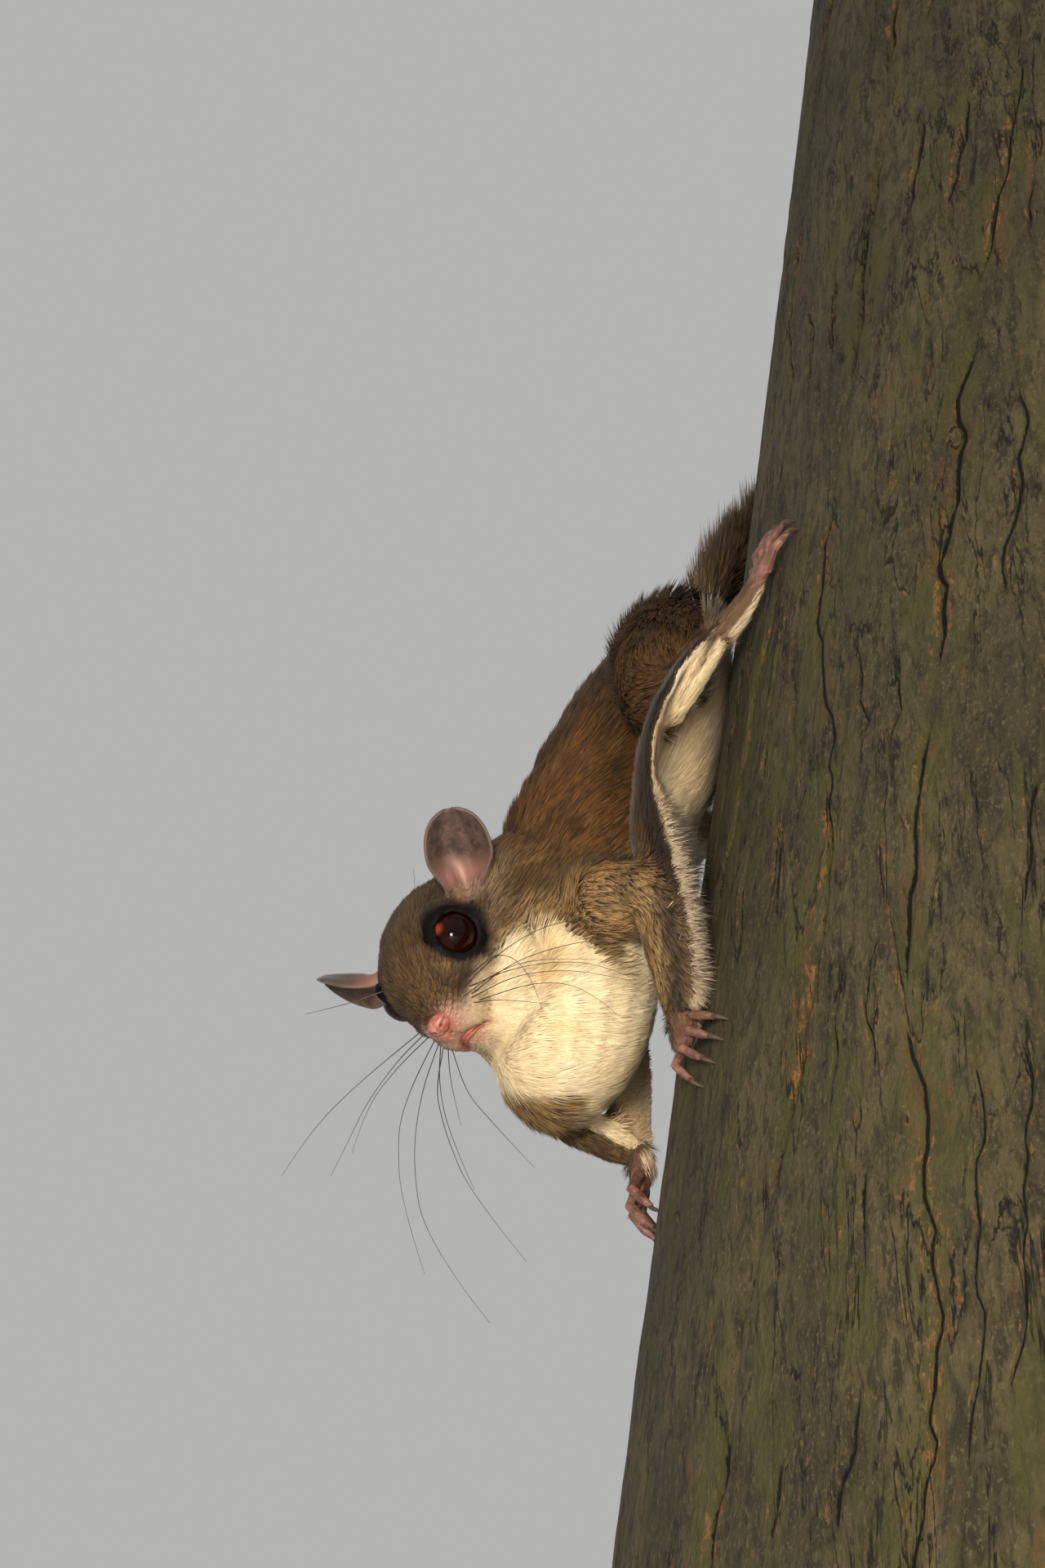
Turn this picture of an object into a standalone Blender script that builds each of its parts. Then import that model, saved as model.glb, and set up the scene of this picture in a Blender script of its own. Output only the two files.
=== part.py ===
"""A southern flying squirrel clinging head down to a short leaning log, as a still life-size museum model.

The log stands on two rods over a flat base. The finished nodes are in metres with +Z up, and the origin is
the centre of the base's underside. The animal and its log are modelled in millimetres in the bark frame:
x is outward from the log's axis on the animal's side, y is towards the animal's left, z is up the log.
"""
import math

import bmesh
import bpy
from mathutils import Matrix, Vector, noise

# Perch and stand, in millimetres.
LOG_RADIUS = 85.0
LOG_LENGTH = 405.0
LOG_LEAN_DEG = 8.4
LOG_FOOT = Vector((-25.0, 0.0, 112.0))
LOG_RINGS = 10
FURROWS = 20
FURROW_DEPTH = 1.5
FURROW_LIP = 1.7
BASE_SIZE = Vector((214.0, 176.0, 12.0))
ROD_RADIUS = 6.0
ROD_OFFSET = 32.0

# The animal, in millimetres.
GAP = 0.3
EYE_RADIUS = 4.3
EYE_PLACE = Vector((1.2, 8.0, 0.8))
EYE_GAZE = Vector((0.5, 0.86, 0.06))
LID_RADIUS = 4.25
HEAD_PLACE = Vector((129.1, 4.7, 131.4))
HEAD_FORWARD = Vector((0.029, 0.441, -0.896))
HEAD_UP = Vector((0.880, 0.395, 0.264))
EAR_LENGTH = 14.6
EAR_WIDTH = 12.0
FLESH_VOXEL = 0.8
FLESH_TRIANGLES = 5200

for old in list(bpy.data.objects):
    bpy.data.objects.remove(old, do_unlink=True)
PARTS = bpy.data.collections.new("flying_squirrel")
bpy.context.scene.collection.children.link(PARTS)


# Shape tools

def at(height, side, along):
    """A point by its height above the bark, its distance to the animal's left and its place up the log."""
    return Vector((math.sqrt((LOG_RADIUS + height) ** 2 - side ** 2), side, along))


def new_object(name, points, faces):
    mesh = bpy.data.meshes.new(name)
    mesh.from_pydata([tuple(p) for p in points], [], faces)
    obj = bpy.data.objects.new(name, mesh)
    PARTS.objects.link(obj)
    return obj


def curve_value(values, t):
    """Catmull-Rom value between the listed values, with t counted in list places."""
    last = len(values) - 1
    i = min(int(t), last - 1)
    f = t - i
    a, b = values[i], values[i + 1]
    before = values[i - 1] if i > 0 else a + (a - b)
    after = values[i + 2] if i + 2 <= last else b + (b - a)
    slope = (b - before) * f
    bend = (2 * before - 5 * a + 4 * b - after) * f ** 2
    twist = (3 * a - before - 3 * b + after) * f ** 3
    return 0.5 * (2 * a + slope + bend + twist)


def loft(name, stations, up, sides=14, steps=3):
    """A closed tube through stations of (centre, half height along up, half width across up)."""
    centres = [Vector(s[0]) for s in stations]
    heights = [s[1] for s in stations]
    widths = [s[2] for s in stations]
    count = (len(stations) - 1) * steps
    path = [curve_value(centres, i / steps) for i in range(count + 1)]
    points = []
    for i, centre in enumerate(path):
        along = (path[min(i + 1, count)] - path[max(i - 1, 0)]).normalized()
        high = (Vector(up) - along * Vector(up).dot(along)).normalized()
        wide = along.cross(high)
        tall = max(curve_value(heights, i / steps), 0.05)
        broad = max(curve_value(widths, i / steps), 0.05)
        for k in range(sides):
            turn = 2 * math.pi * k / sides
            points.append(centre + high * tall * math.cos(turn) + wide * broad * math.sin(turn))
    faces = []
    for i in range(count):
        for k in range(sides):
            k2 = (k + 1) % sides
            faces.append((i * sides + k, i * sides + k2, (i + 1) * sides + k2, (i + 1) * sides + k))
    faces.append(tuple(reversed(range(sides))))
    faces.append(tuple(range(count * sides, (count + 1) * sides)))
    return outward(new_object(name, points, faces))


def ball(name, centre, radii, axes=Matrix.Identity(3), segments=16, rings=10):
    mesh = bpy.data.meshes.new(name)
    bm = bmesh.new()
    bmesh.ops.create_uvsphere(bm, u_segments=segments, v_segments=rings, radius=1.0)
    place = Matrix.Translation(centre) @ axes.to_4x4() @ Matrix.Diagonal((*radii, 1.0))
    bmesh.ops.transform(bm, matrix=place, verts=bm.verts)
    bm.to_mesh(mesh)
    bm.free()
    obj = bpy.data.objects.new(name, mesh)
    PARTS.objects.link(obj)
    return outward(obj)


def box(name, centre, size, axes=Matrix.Identity(3)):
    mesh = bpy.data.meshes.new(name)
    bm = bmesh.new()
    bmesh.ops.create_cube(bm, size=1.0)
    place = Matrix.Translation(centre) @ axes.to_4x4() @ Matrix.Diagonal((*size, 1.0))
    bmesh.ops.transform(bm, matrix=place, verts=bm.verts)
    bm.to_mesh(mesh)
    bm.free()
    obj = bpy.data.objects.new(name, mesh)
    PARTS.objects.link(obj)
    return outward(obj)


def outward(obj):
    """Turn the faces of a closed mesh outward."""
    bm = bmesh.new()
    bm.from_mesh(obj.data)
    bmesh.ops.recalc_face_normals(bm, faces=bm.faces)
    if bm.calc_volume(signed=True) < 0:
        bmesh.ops.reverse_faces(bm, faces=bm.faces)
    bm.to_mesh(obj.data)
    bm.free()
    return obj


def bake(obj, kind, **settings):
    """Add one modifier, keep its result as the mesh and drop the modifier."""
    modifier = obj.modifiers.new(kind, kind)
    for key, value in settings.items():
        setattr(modifier, key, value)
    bpy.context.view_layer.update()
    result = bpy.data.meshes.new_from_object(obj.evaluated_get(bpy.context.evaluated_depsgraph_get()))
    obj.modifiers.clear()
    spent = obj.data
    obj.data = result
    bpy.data.meshes.remove(spent)
    return obj


def clean(obj):
    """Triangulate and dissolve the needle triangles that cuts leave, finer than two microns."""
    bm = bmesh.new()
    bm.from_mesh(obj.data)
    bmesh.ops.remove_doubles(bm, verts=bm.verts, dist=0.0001)
    bmesh.ops.dissolve_degenerate(bm, edges=bm.edges, dist=0.002)
    bmesh.ops.triangulate(bm, faces=bm.faces)
    bm.to_mesh(obj.data)
    bm.free()
    return outward(obj)


def drop(*objects):
    for obj in objects:
        mesh = obj.data
        bpy.data.objects.remove(obj, do_unlink=True)
        bpy.data.meshes.remove(mesh)


def duplicate(obj, name):
    twin = bpy.data.objects.new(name, obj.data.copy())
    PARTS.objects.link(twin)
    return twin


def gather(name, objects):
    """One object holding the meshes of several, which are removed."""
    bm = bmesh.new()
    for obj in objects:
        bm.from_mesh(obj.data)
    mesh = bpy.data.meshes.new(name)
    bm.to_mesh(mesh)
    bm.free()
    drop(*objects)
    obj = bpy.data.objects.new(name, mesh)
    PARTS.objects.link(obj)
    return obj


def cut(obj, cutter, keep=False):
    bake(obj, "BOOLEAN", operation="DIFFERENCE", object=cutter, solver="EXACT")
    if not keep:
        drop(cutter)
    return obj


def unite(name, objects):
    """One Boolean union of closed meshes, whose source objects are removed."""
    first = objects[0]
    group = bpy.data.collections.new(name + "_union")
    bpy.context.scene.collection.children.link(group)
    for obj in objects[1:]:
        PARTS.objects.unlink(obj)
        group.objects.link(obj)
    bake(first, "BOOLEAN", operation="UNION", operand_type="COLLECTION", collection=group, solver="EXACT")
    drop(*objects[1:])
    bpy.data.collections.remove(group)
    first.name = name
    return largest(first)


def islands(obj):
    """The separate closed surfaces of a mesh as lists of face numbers."""
    bm = bmesh.new()
    bm.from_mesh(obj.data)
    bm.faces.ensure_lookup_table()
    seen = set()
    found = []
    for face in bm.faces:
        if face.index in seen:
            continue
        seen.add(face.index)
        stack = [face]
        island = []
        while stack:
            here = stack.pop()
            island.append(here.index)
            for edge in here.edges:
                for near in edge.link_faces:
                    if near.index not in seen:
                        seen.add(near.index)
                        stack.append(near)
        found.append(island)
    bm.free()
    return found


def keep_faces(obj, wanted):
    wanted = set(wanted)
    bm = bmesh.new()
    bm.from_mesh(obj.data)
    bmesh.ops.delete(bm, geom=[f for f in bm.faces if f.index not in wanted], context="FACES")
    bm.to_mesh(obj.data)
    bm.free()
    return obj


def largest(obj):
    """Keep only the closed surface with the widest box."""
    def reach(island):
        points = [obj.data.vertices[v].co for f in island for v in obj.data.polygons[f].vertices]
        return sum(max(p[i] for p in points) - min(p[i] for p in points) for i in range(3))
    return keep_faces(obj, max(islands(obj), key=reach))


def split(obj, seeds):
    """Part a mesh into named pieces, each the closed surface nearest to its seed point."""
    groups = [island for island in islands(obj) if len(island) > 40]
    pieces = {}
    for name, seed in seeds.items():
        def distance(island):
            corners = {v for f in island for v in obj.data.polygons[f].vertices}
            return min((obj.data.vertices[v].co - Vector(seed)).length for v in corners)
        piece = duplicate(obj, name)
        pieces[name] = keep_faces(piece, min(groups, key=distance))
    drop(obj)
    return pieces


def swell(obj, amount, name="swollen"):
    """A copy pushed outward along its normals."""
    twin = duplicate(obj, name)
    return bake(twin, "DISPLACE", strength=amount, mid_level=0.0)


def sheet(name, rows, thickness):
    """A closed plate through rows of points, with the same triangles on both faces."""
    count, width = len(rows), len(rows[0])
    flat = [Vector(p) for row in rows for p in row]
    normals = []
    for i in range(count):
        for j in range(width):
            down = flat[min(i + 1, count - 1) * width + j] - flat[max(i - 1, 0) * width + j]
            across = flat[i * width + min(j + 1, width - 1)] - flat[i * width + max(j - 1, 0)]
            normals.append(down.cross(across).normalized())
    sizes = [thickness(i / (count - 1), j / (width - 1)) for i in range(count) for j in range(width)]
    points = [p + n * s / 2 for p, n, s in zip(flat, normals, sizes)]
    points += [p - n * s / 2 for p, n, s in zip(flat, normals, sizes)]
    half = count * width
    faces = []
    for i in range(count - 1):
        for j in range(width - 1):
            a, b = i * width + j, i * width + j + 1
            c, d = a + width, b + width
            faces += [(a, b, d), (a, d, c), (half + a, half + d, half + b), (half + a, half + c, half + d)]
    rim = [(0, j) for j in range(width)] + [(i, width - 1) for i in range(1, count)]
    rim += [(count - 1, j) for j in range(width - 2, -1, -1)] + [(i, 0) for i in range(count - 2, 0, -1)]
    ring = [i * width + j for i, j in rim]
    for a, b in zip(ring, ring[1:] + ring[:1]):
        faces.append((a, half + a, half + b, b))
    return outward(new_object(name, points, faces))


# Perch: a log with lightly waved bark, parted by long wandering furrows and cut square at both ends

def bark_wave(turn, along):
    place = Vector((math.cos(turn) * 2.2, math.sin(turn) * 2.2, along / 150.0))
    return 0.9 * noise.noise(place)


def furrow_turn(number, along):
    """Where a furrow runs round the log at a height, as an angle."""
    kind = number % FURROWS
    wander = 0.16 * math.sin(along / 38.0 + 2.3 * kind) + 0.08 * math.sin(along / 21.0 + 4.1 * kind)
    return (number + wander) * math.tau / FURROWS


def furrow_sink(number, along):
    """How deep a furrow is at a height; it comes and goes up the log."""
    kind = number % FURROWS
    return FURROW_DEPTH * (0.65 + 0.35 * math.sin(along / 33.0 + 2.9 * kind))


def bark_column(column, along):
    """Angle and sink of one of a furrow's four columns: its bottom, its lip, the crown and the next lip."""
    number, place = divmod(column, 4)
    here, beyond = furrow_turn(number, along), furrow_turn(number + 1, along)
    if place == 0:
        return here, 0.3 + furrow_sink(number, along)
    if place == 1:
        return here + FURROW_LIP / LOG_RADIUS, 0.3
    if place == 2:
        return (here + beyond) / 2, 0.0
    return beyond - FURROW_LIP / LOG_RADIUS, 0.3


bm = bmesh.new()
bmesh.ops.create_cone(bm, cap_ends=True, segments=4 * FURROWS, radius1=LOG_RADIUS, radius2=LOG_RADIUS,
                      depth=LOG_LENGTH)
bmesh.ops.translate(bm, vec=(0, 0, LOG_LENGTH / 2), verts=bm.verts)
for ring in range(1, LOG_RINGS):
    level = LOG_LENGTH * ring / LOG_RINGS
    bmesh.ops.bisect_plane(bm, geom=bm.verts[:] + bm.edges[:] + bm.faces[:], plane_co=(0, 0, level),
                           plane_no=(0, 0, 1))
for vert in bm.verts:
    column = round(math.atan2(vert.co.y, vert.co.x) * 4 * FURROWS / math.tau)
    turn, sink = bark_column(column, vert.co.z)
    radius = LOG_RADIUS - 0.4 + bark_wave(turn, vert.co.z) - sink
    vert.co = Vector((radius * math.cos(turn), radius * math.sin(turn), vert.co.z))
log_mesh = bpy.data.meshes.new("perch_log")
bm.to_mesh(log_mesh)
bm.free()
perch = bpy.data.objects.new("perch_log", log_mesh)
PARTS.objects.link(perch)
outward(perch)
clear_of_bark = swell(perch, GAP, "bark_clearance")


# Head frame: x forward to the nose, y to the animal's left, z to the crown

head_x = HEAD_FORWARD.normalized()
head_y = HEAD_UP.cross(head_x).normalized()
head_z = head_x.cross(head_y)
HEAD_AXES = Matrix((head_x, head_y, head_z)).transposed()


def in_head(forward, left, up):
    return HEAD_PLACE + HEAD_AXES @ Vector((forward, left, up))


# Flesh: torso, neck, head and the upper limbs are lofted, fused and smoothed as one body

flesh = []
flesh.append(loft("torso_bulk", [
    (at(6.5, -9.5, 223.0), 4.5, 5.0),
    (at(8.6, -9.0, 216.0), 8.0, 8.0),
    (at(11.2, -7.5, 206.5), 11.8, 11.5),
    (at(14.4, -5.0, 193.3), 14.8, 14.5),
    (at(17.2, -2.5, 177.8), 16.6, 15.5),
    (at(20.3, 0.0, 162.4), 17.0, 15.5),
    (at(20.3, 1.0, 148.2), 17.0, 15.0),
    (at(20.4, 1.0, 135.4), 17.2, 15.0),
    (at(20.0, 0.0, 125.0), 16.2, 14.5),
    (at(19.5, -1.5, 117.0), 13.6, 12.5),
    (at(18.6, -2.5, 111.0), 9.6, 9.0),
    (at(17.6, -3.0, 107.0), 4.2, 4.2),
], up=(1, 0, 0), sides=20))
flesh.append(loft("neck_bulk", [
    (Vector((106.0, 1.0, 153.0)), 12.0, 12.0),
    (Vector((113.0, 2.0, 150.0)), 12.5, 12.0),
    (Vector((120.0, 3.0, 145.5)), 12.0, 11.5),
    (Vector((126.0, 4.0, 139.0)), 10.5, 11.0),
], up=(0, 0, 1), sides=20))

head_profile = [
    (-19.0, 1.0, 4.0, 5.0),
    (-16.0, 1.0, 7.5, 8.5),
    (-11.0, 0.5, 9.8, 11.2),
    (-5.0, 0.0, 10.8, 12.2),
    (0.5, -0.6, 10.2, 11.4),
    (5.0, -2.0, 8.4, 9.0),
    (9.0, -3.8, 6.0, 6.6),
    (12.5, -4.8, 4.4, 4.6),
    (14.8, -4.9, 2.4, 2.6),
]
flesh.append(loft("head_bulk", [(in_head(f, 0.0, u), tall, broad) for f, u, tall, broad in head_profile],
                  up=head_z, sides=20))
for side in (1, -1):
    flesh.append(ball("cheek_bulk", in_head(3.0, side * 6.0, -5.5), (6.5, 4.6, 4.6), HEAD_AXES))
    flesh.append(ball("lip_bulk", in_head(9.7, side * 2.9, -7.6), (4.0, 3.7, 3.8), HEAD_AXES))
    flesh.append(ball("jaw_bulk", in_head(6.4, side * 3.5, -10.4), (5.0, 3.7, 3.4), HEAD_AXES))
flesh.append(ball("chin_bulk", in_head(8.6, 0.0, -11.0), (3.8, 3.6, 2.8), HEAD_AXES))

limb_stations = {
    "foreleg_left": [(Vector((104.0, 9.0, 144.0)), 9.0), (Vector((99.0, 17.0, 141.5)), 8.0),
                     (Vector((92.0, 25.0, 138.0)), 5.6), (Vector((88.4, 27.0, 127.0)), 4.0),
                     (Vector((84.6, 26.0, 116.0)), 2.5), (Vector((83.6, 26.0, 113.0)), 2.4)],
    "foreleg_right": [(Vector((107.0, -8.0, 139.0)), 9.0), (Vector((108.0, -15.0, 131.0)), 7.5),
                      (Vector((107.0, -20.0, 121.5)), 5.4), (Vector((98.0, -18.5, 114.5)), 4.0),
                      (Vector((89.5, -16.0, 110.5)), 2.5), (Vector((87.5, -15.6, 109.0)), 2.4)],
    "hindleg_left": [(Vector((95.5, 2.0, 211.0)), 8.5), (Vector((97.5, 12.0, 198.0)), 9.0),
                     (Vector((97.0, 19.5, 183.0)), 7.0), (Vector((92.5, 25.0, 184.0)), 4.8),
                     (Vector((87.6, 28.6, 192.0)), 2.9), (Vector((86.0, 30.0, 195.0)), 2.4)],
    "hindleg_right": [(at(8.8, -15.0, 212.0), 8.5), (at(11.0, -22.5, 200.0), 9.0),
                      (at(12.5, -29.5, 186.0), 7.0), (at(9.5, -34.5, 187.5), 4.8),
                      (at(6.0, -38.0, 195.5), 2.9), (at(4.6, -39.0, 198.5), 2.4)],
}
for name, stations in limb_stations.items():
    flesh.append(loft(name + "_bulk", [(c, r, r) for c, r in stations], up=(1, 0.2, 0.1), sides=16))

body = gather("body", flesh)
bake(body, "REMESH", mode="VOXEL", voxel_size=FLESH_VOXEL, adaptivity=0.0)
bake(body, "SMOOTH", factor=0.5, iterations=7)
bake(body, "TRIANGULATE")
bake(body, "DECIMATE", ratio=FLESH_TRIANGLES / len(body.data.polygons))
outward(body)
largest(body)
cut(body, clear_of_bark, keep=True)


# Tail: a slim core with flat, tapered locks swept back from both sides, lying round the far side of the log

tail_path = [
    (at(7.0, -9.5, 214.0), 4.5, 5.0),
    (at(7.6, -13.0, 227.0), 3.8, 5.2),
    (at(6.8, -19.0, 238.0), 3.2, 5.0),
    (at(5.8, -27.0, 250.0), 2.8, 4.8),
    (at(5.2, -36.0, 263.0), 2.6, 4.8),
    (at(5.0, -45.0, 276.0), 2.4, 4.6),
    (at(4.8, -52.5, 287.0), 2.1, 4.0),
    (at(4.6, -58.5, 297.5), 1.6, 2.8),
    (at(4.4, -61.0, 302.0), 0.6, 1.0),
]
TAIL_REACH = [5.5, 8.0, 10.0, 11.5, 12.2, 12.2, 11.4, 9.4, 7.0]
LOCK_SWEEP = math.radians(34.0)
LOCK_STEP = 0.43
LOCK_PAIRS = 16
tail_centres = [station[0] for station in tail_path]


def tail_frame(t):
    """Centre, backward direction, direction off the bark and sideways direction at a place on the tail."""
    centre = curve_value(tail_centres, t)
    ahead = curve_value(tail_centres, max(t - 0.2, 0.0))
    back = (curve_value(tail_centres, min(t + 0.2, 8.0)) - ahead).normalized()
    off = Vector((centre.x, centre.y, 0.0))
    off = (off - back * off.dot(back)).normalized()
    return centre, back, off, back.cross(off)


def tail_lock(number, t, side, sweep, reach):
    """A flat tapered lock rooted in the core, leaving it at the sweep angle and bending back to the tip."""
    centre, back, off, across = tail_frame(t)
    place = centre + across * side * 1.2 + off * (0.45 if number % 2 else -0.45)
    length = reach / max(math.sin(sweep), 0.62)
    stations = [(place - across * side * 0.8, 1.1, 1.9)]
    for share, bend, thick, broad in ((0.38, 1.25, 0.9, 3.1), (0.36, 1.0, 0.6, 2.5), (0.26, 0.75, 0.2, 0.4)):
        ahead = back * math.cos(sweep * bend) + across * side * math.sin(sweep * bend)
        place = place + ahead * length * share - off * 0.3
        stations.append((place, thick, broad))
    return loft("tail_lock", stations, up=off, sides=4, steps=1)


tail_parts = [loft("tail", tail_path, up=(1, -0.4, 0), sides=8, steps=1)]
for number in range(LOCK_PAIRS):
    t = 0.8 + LOCK_STEP * number
    for side in (-1, 1):
        reach = curve_value(TAIL_REACH, t) * (0.95 + 0.06 * math.sin(1.7 * number + side))
        tail_parts.append(tail_lock(number, t, side, LOCK_SWEEP, reach))
for number, sweep in enumerate((-24.0, 0.0, 24.0)):
    tail_parts.append(tail_lock(number, 7.7, 1, math.radians(sweep), 7.5))
tail = unite("tail", tail_parts)


# Feet: a sole or palm with separate toes, each ending in a hooked claw

def foot(name, wrist, palm, toes, toe_radius, up):
    """Unite a palm loft with toes; each toe is a list of points and ends in a claw."""
    pieces = [loft(name, [wrist] + palm, up=up, sides=8, steps=2)]
    for number, points in enumerate(toes):
        radii = [toe_radius * 1.05, toe_radius, toe_radius * 0.95, toe_radius * 0.9, toe_radius * 0.5]
        stations = [(p, r, r) for p, r in zip(points, radii)]
        pieces.append(loft(name + "_toe%d" % number, stations, up=up, sides=5, steps=1))
        tip, back = Vector(points[-1]), Vector(points[-2])
        ahead = (tip - back).normalized()
        inward = Vector((-tip.x, -tip.y, 0)).normalized()
        claw = [(tip - ahead * 1.2 - inward * 0.3, 0.5, 0.4),
                (tip + ahead * 0.5 - inward * 0.2, 0.42, 0.34),
                (tip + ahead * 1.2 + inward * 0.5, 0.24, 0.2),
                (tip + ahead * 1.4 + inward * 1.2, 0.05, 0.05)]
        pieces.append(loft(name + "_claw%d" % number, claw, up=up, sides=4, steps=1))
    return unite(name, pieces)


def toe_line(root, knuckle, tip):
    """Five points: from the root over a raised knuckle down to the tip."""
    root, knuckle, tip = Vector(root), Vector(knuckle), Vector(tip)
    falling = knuckle * 0.45 + tip * 0.55 + (knuckle - root) * 0.06
    return [root, (root + knuckle) / 2, knuckle, falling, tip]


feet = {}
feet["forefoot_left"] = foot("forefoot_left", (Vector((85.6, 26.0, 119.0)), 2.4, 2.5), [
    (Vector((84.2, 26.4, 114.5)), 2.3, 2.9), (Vector((83.8, 27.6, 111.6)), 1.7, 3.2),
    (Vector((83.5, 28.0, 110.0)), 1.2, 2.5)], [
    toe_line(at(2.6, 26.2, 110.4), at(3.8, 26.8, 106.8), at(1.3, 28.8, 103.4)),
    toe_line(at(2.6, 27.8, 111.2), at(3.9, 29.6, 108.6), at(1.3, 32.4, 105.8)),
    toe_line(at(2.6, 28.6, 112.8), at(3.9, 31.0, 111.2), at(1.3, 34.2, 109.0)),
    toe_line(at(2.6, 28.8, 114.4), at(3.6, 31.6, 113.9), at(1.3, 34.9, 112.3)),
], 0.9, (1, 0.3, 0))
feet["forefoot_right"] = foot("forefoot_right", (Vector((90.5, -16.2, 112.0)), 2.4, 2.5), [
    (Vector((88.6, -15.8, 107.5)), 2.2, 3.0), (Vector((88.6, -15.6, 104.0)), 1.7, 3.5),
    (Vector((88.4, -15.6, 102.2)), 1.2, 2.6)], [
    toe_line(at(4.6, -12.8, 105.0), at(5.4, -10.2, 101.0), at(1.3, -8.4, 97.4)),
    toe_line(at(4.8, -14.6, 104.0), at(5.8, -13.8, 99.4), at(1.3, -13.0, 95.6)),
    toe_line(at(4.8, -16.6, 104.0), at(5.8, -17.6, 99.4), at(1.3, -18.0, 95.6)),
    toe_line(at(4.6, -18.4, 105.0), at(5.2, -21.0, 101.4), at(1.3, -23.0, 98.2)),
], 1.1, (1, -0.2, 0.2))


def hindfoot(name, side, shift, lift):
    """A long sole lying up the log behind the ankle, with five toes spread over the bark."""
    def spot(height, left, along):
        return at(height, side * (left + shift), along + lift)
    ankle = (spot(7.4, 27.8, 190.0), 2.5, 2.5)
    sole = [(spot(4.6, 30.0, 195.5), 2.1, 2.6), (spot(2.9, 31.8, 200.5), 1.6, 2.8),
            (spot(2.2, 33.0, 205.0), 1.3, 3.0), (spot(2.0, 33.6, 207.2), 1.0, 2.2)]
    toes = [toe_line(spot(2.0, 31.6, 203.0), spot(2.4, 29.6, 206.6), spot(1.3, 28.4, 208.6)),
            toe_line(spot(2.0, 32.0, 205.0), spot(2.8, 31.2, 209.0), spot(1.3, 30.8, 212.4)),
            toe_line(spot(2.0, 33.0, 205.6), spot(2.8, 33.6, 209.8), spot(1.3, 34.0, 213.6)),
            toe_line(spot(2.0, 34.0, 205.0), spot(2.8, 36.0, 208.8), spot(1.3, 37.2, 212.4)),
            toe_line(spot(2.0, 34.6, 203.4), spot(2.4, 37.6, 206.6), spot(1.3, 39.2, 209.0))]
    return foot(name, ankle, sole, toes, 0.95, (1, 0.4 * side, 0))


feet["hindfoot_left"] = hindfoot("hindfoot_left", 1, 0.0, 0.0)
feet["hindfoot_right"] = hindfoot("hindfoot_right", -1, 9.6, 3.5)


# Flesh cuts: thin slabs part the body into its named lengths

def slab(centre, normal, length, width):
    """A thin plate one gap thick; its length runs up the log as nearly as the normal lets it."""
    out = Vector(normal).normalized()
    lie = Vector((0, 0, 1)) - out * out.z
    if lie.length < 0.3:
        lie = Vector((1, 0, 0)) - out * out.x
    lie.normalize()
    axes = Matrix((lie, out.cross(lie), out)).transposed()
    return box("slab", centre, (length, width, GAP), axes)


slabs = [
    slab(in_head(-8.5, 0.0, -5.0), HEAD_AXES @ Vector((-0.75, 0.0, -0.66)), 38.0, 36.0),
    slab(Vector((119.2, 2.0, 139.0)), (0.99, 0.05, -0.06), 66.0, 50.0),
    slab(Vector((101.0, -2.0, 172.0)), (0.1, 0.1, -1.0), 60.0, 60.0),
    slab(Vector((99.0, 16.8, 141.0)), (-0.3, 0.95, 0.0), 28.0, 26.0),
    slab(Vector((105.0, -14.2, 125.0)), (0.0, -1.0, -0.25), 50.0, 44.0),
    slab(Vector((96.0, 12.2, 192.0)), (0.0, 1.0, 0.18), 70.0, 44.0),
    slab(Vector((94.0, -20.0, 192.0)), (0.0, -1.0, 0.0), 70.0, 44.0),
]
wrist_cuts = {}
for name, stations in limb_stations.items():
    place, direction = stations[4][0], stations[5][0] - stations[4][0]
    wrist_cuts[name.replace("leg", "foot")] = (place, direction)
    slabs.append(slab(place, direction, 9.0, 9.0))
for name, node in feet.items():
    place, direction = wrist_cuts[name]
    axes = direction.normalized().to_track_quat("Z", "Y").to_matrix()
    behind = box("behind", place - direction.normalized() * (15.0 - GAP / 2), (30, 30, 30), axes)
    cut(node, behind)
    largest(node)
    cut(node, clear_of_bark, keep=True)
    largest(node)


whole = swell(body, GAP, "body_clearance")
for plate in slabs:
    cut(body, plate)
seeds = {
    "head": in_head(0.0, 0.0, 6.0),
    "neck": in_head(-13.0, 0.0, -6.0),
    "chest": Vector((104.0, 15.0, 160.0)),
    "abdomen": Vector((110.0, -6.0, 205.0)),
}
for name, stations in limb_stations.items():
    seeds[name] = stations[3][0]
nodes = split(body, seeds)
nodes.update(feet)
for node in (nodes["neck"], nodes["chest"], nodes["abdomen"]):
    largest(node)


# Tail root, trimmed to the rump

cut(tail, whole, keep=True)
largest(tail)
nodes["tail"] = tail


# Gliding membranes from wrist to ankle along each flank

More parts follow.
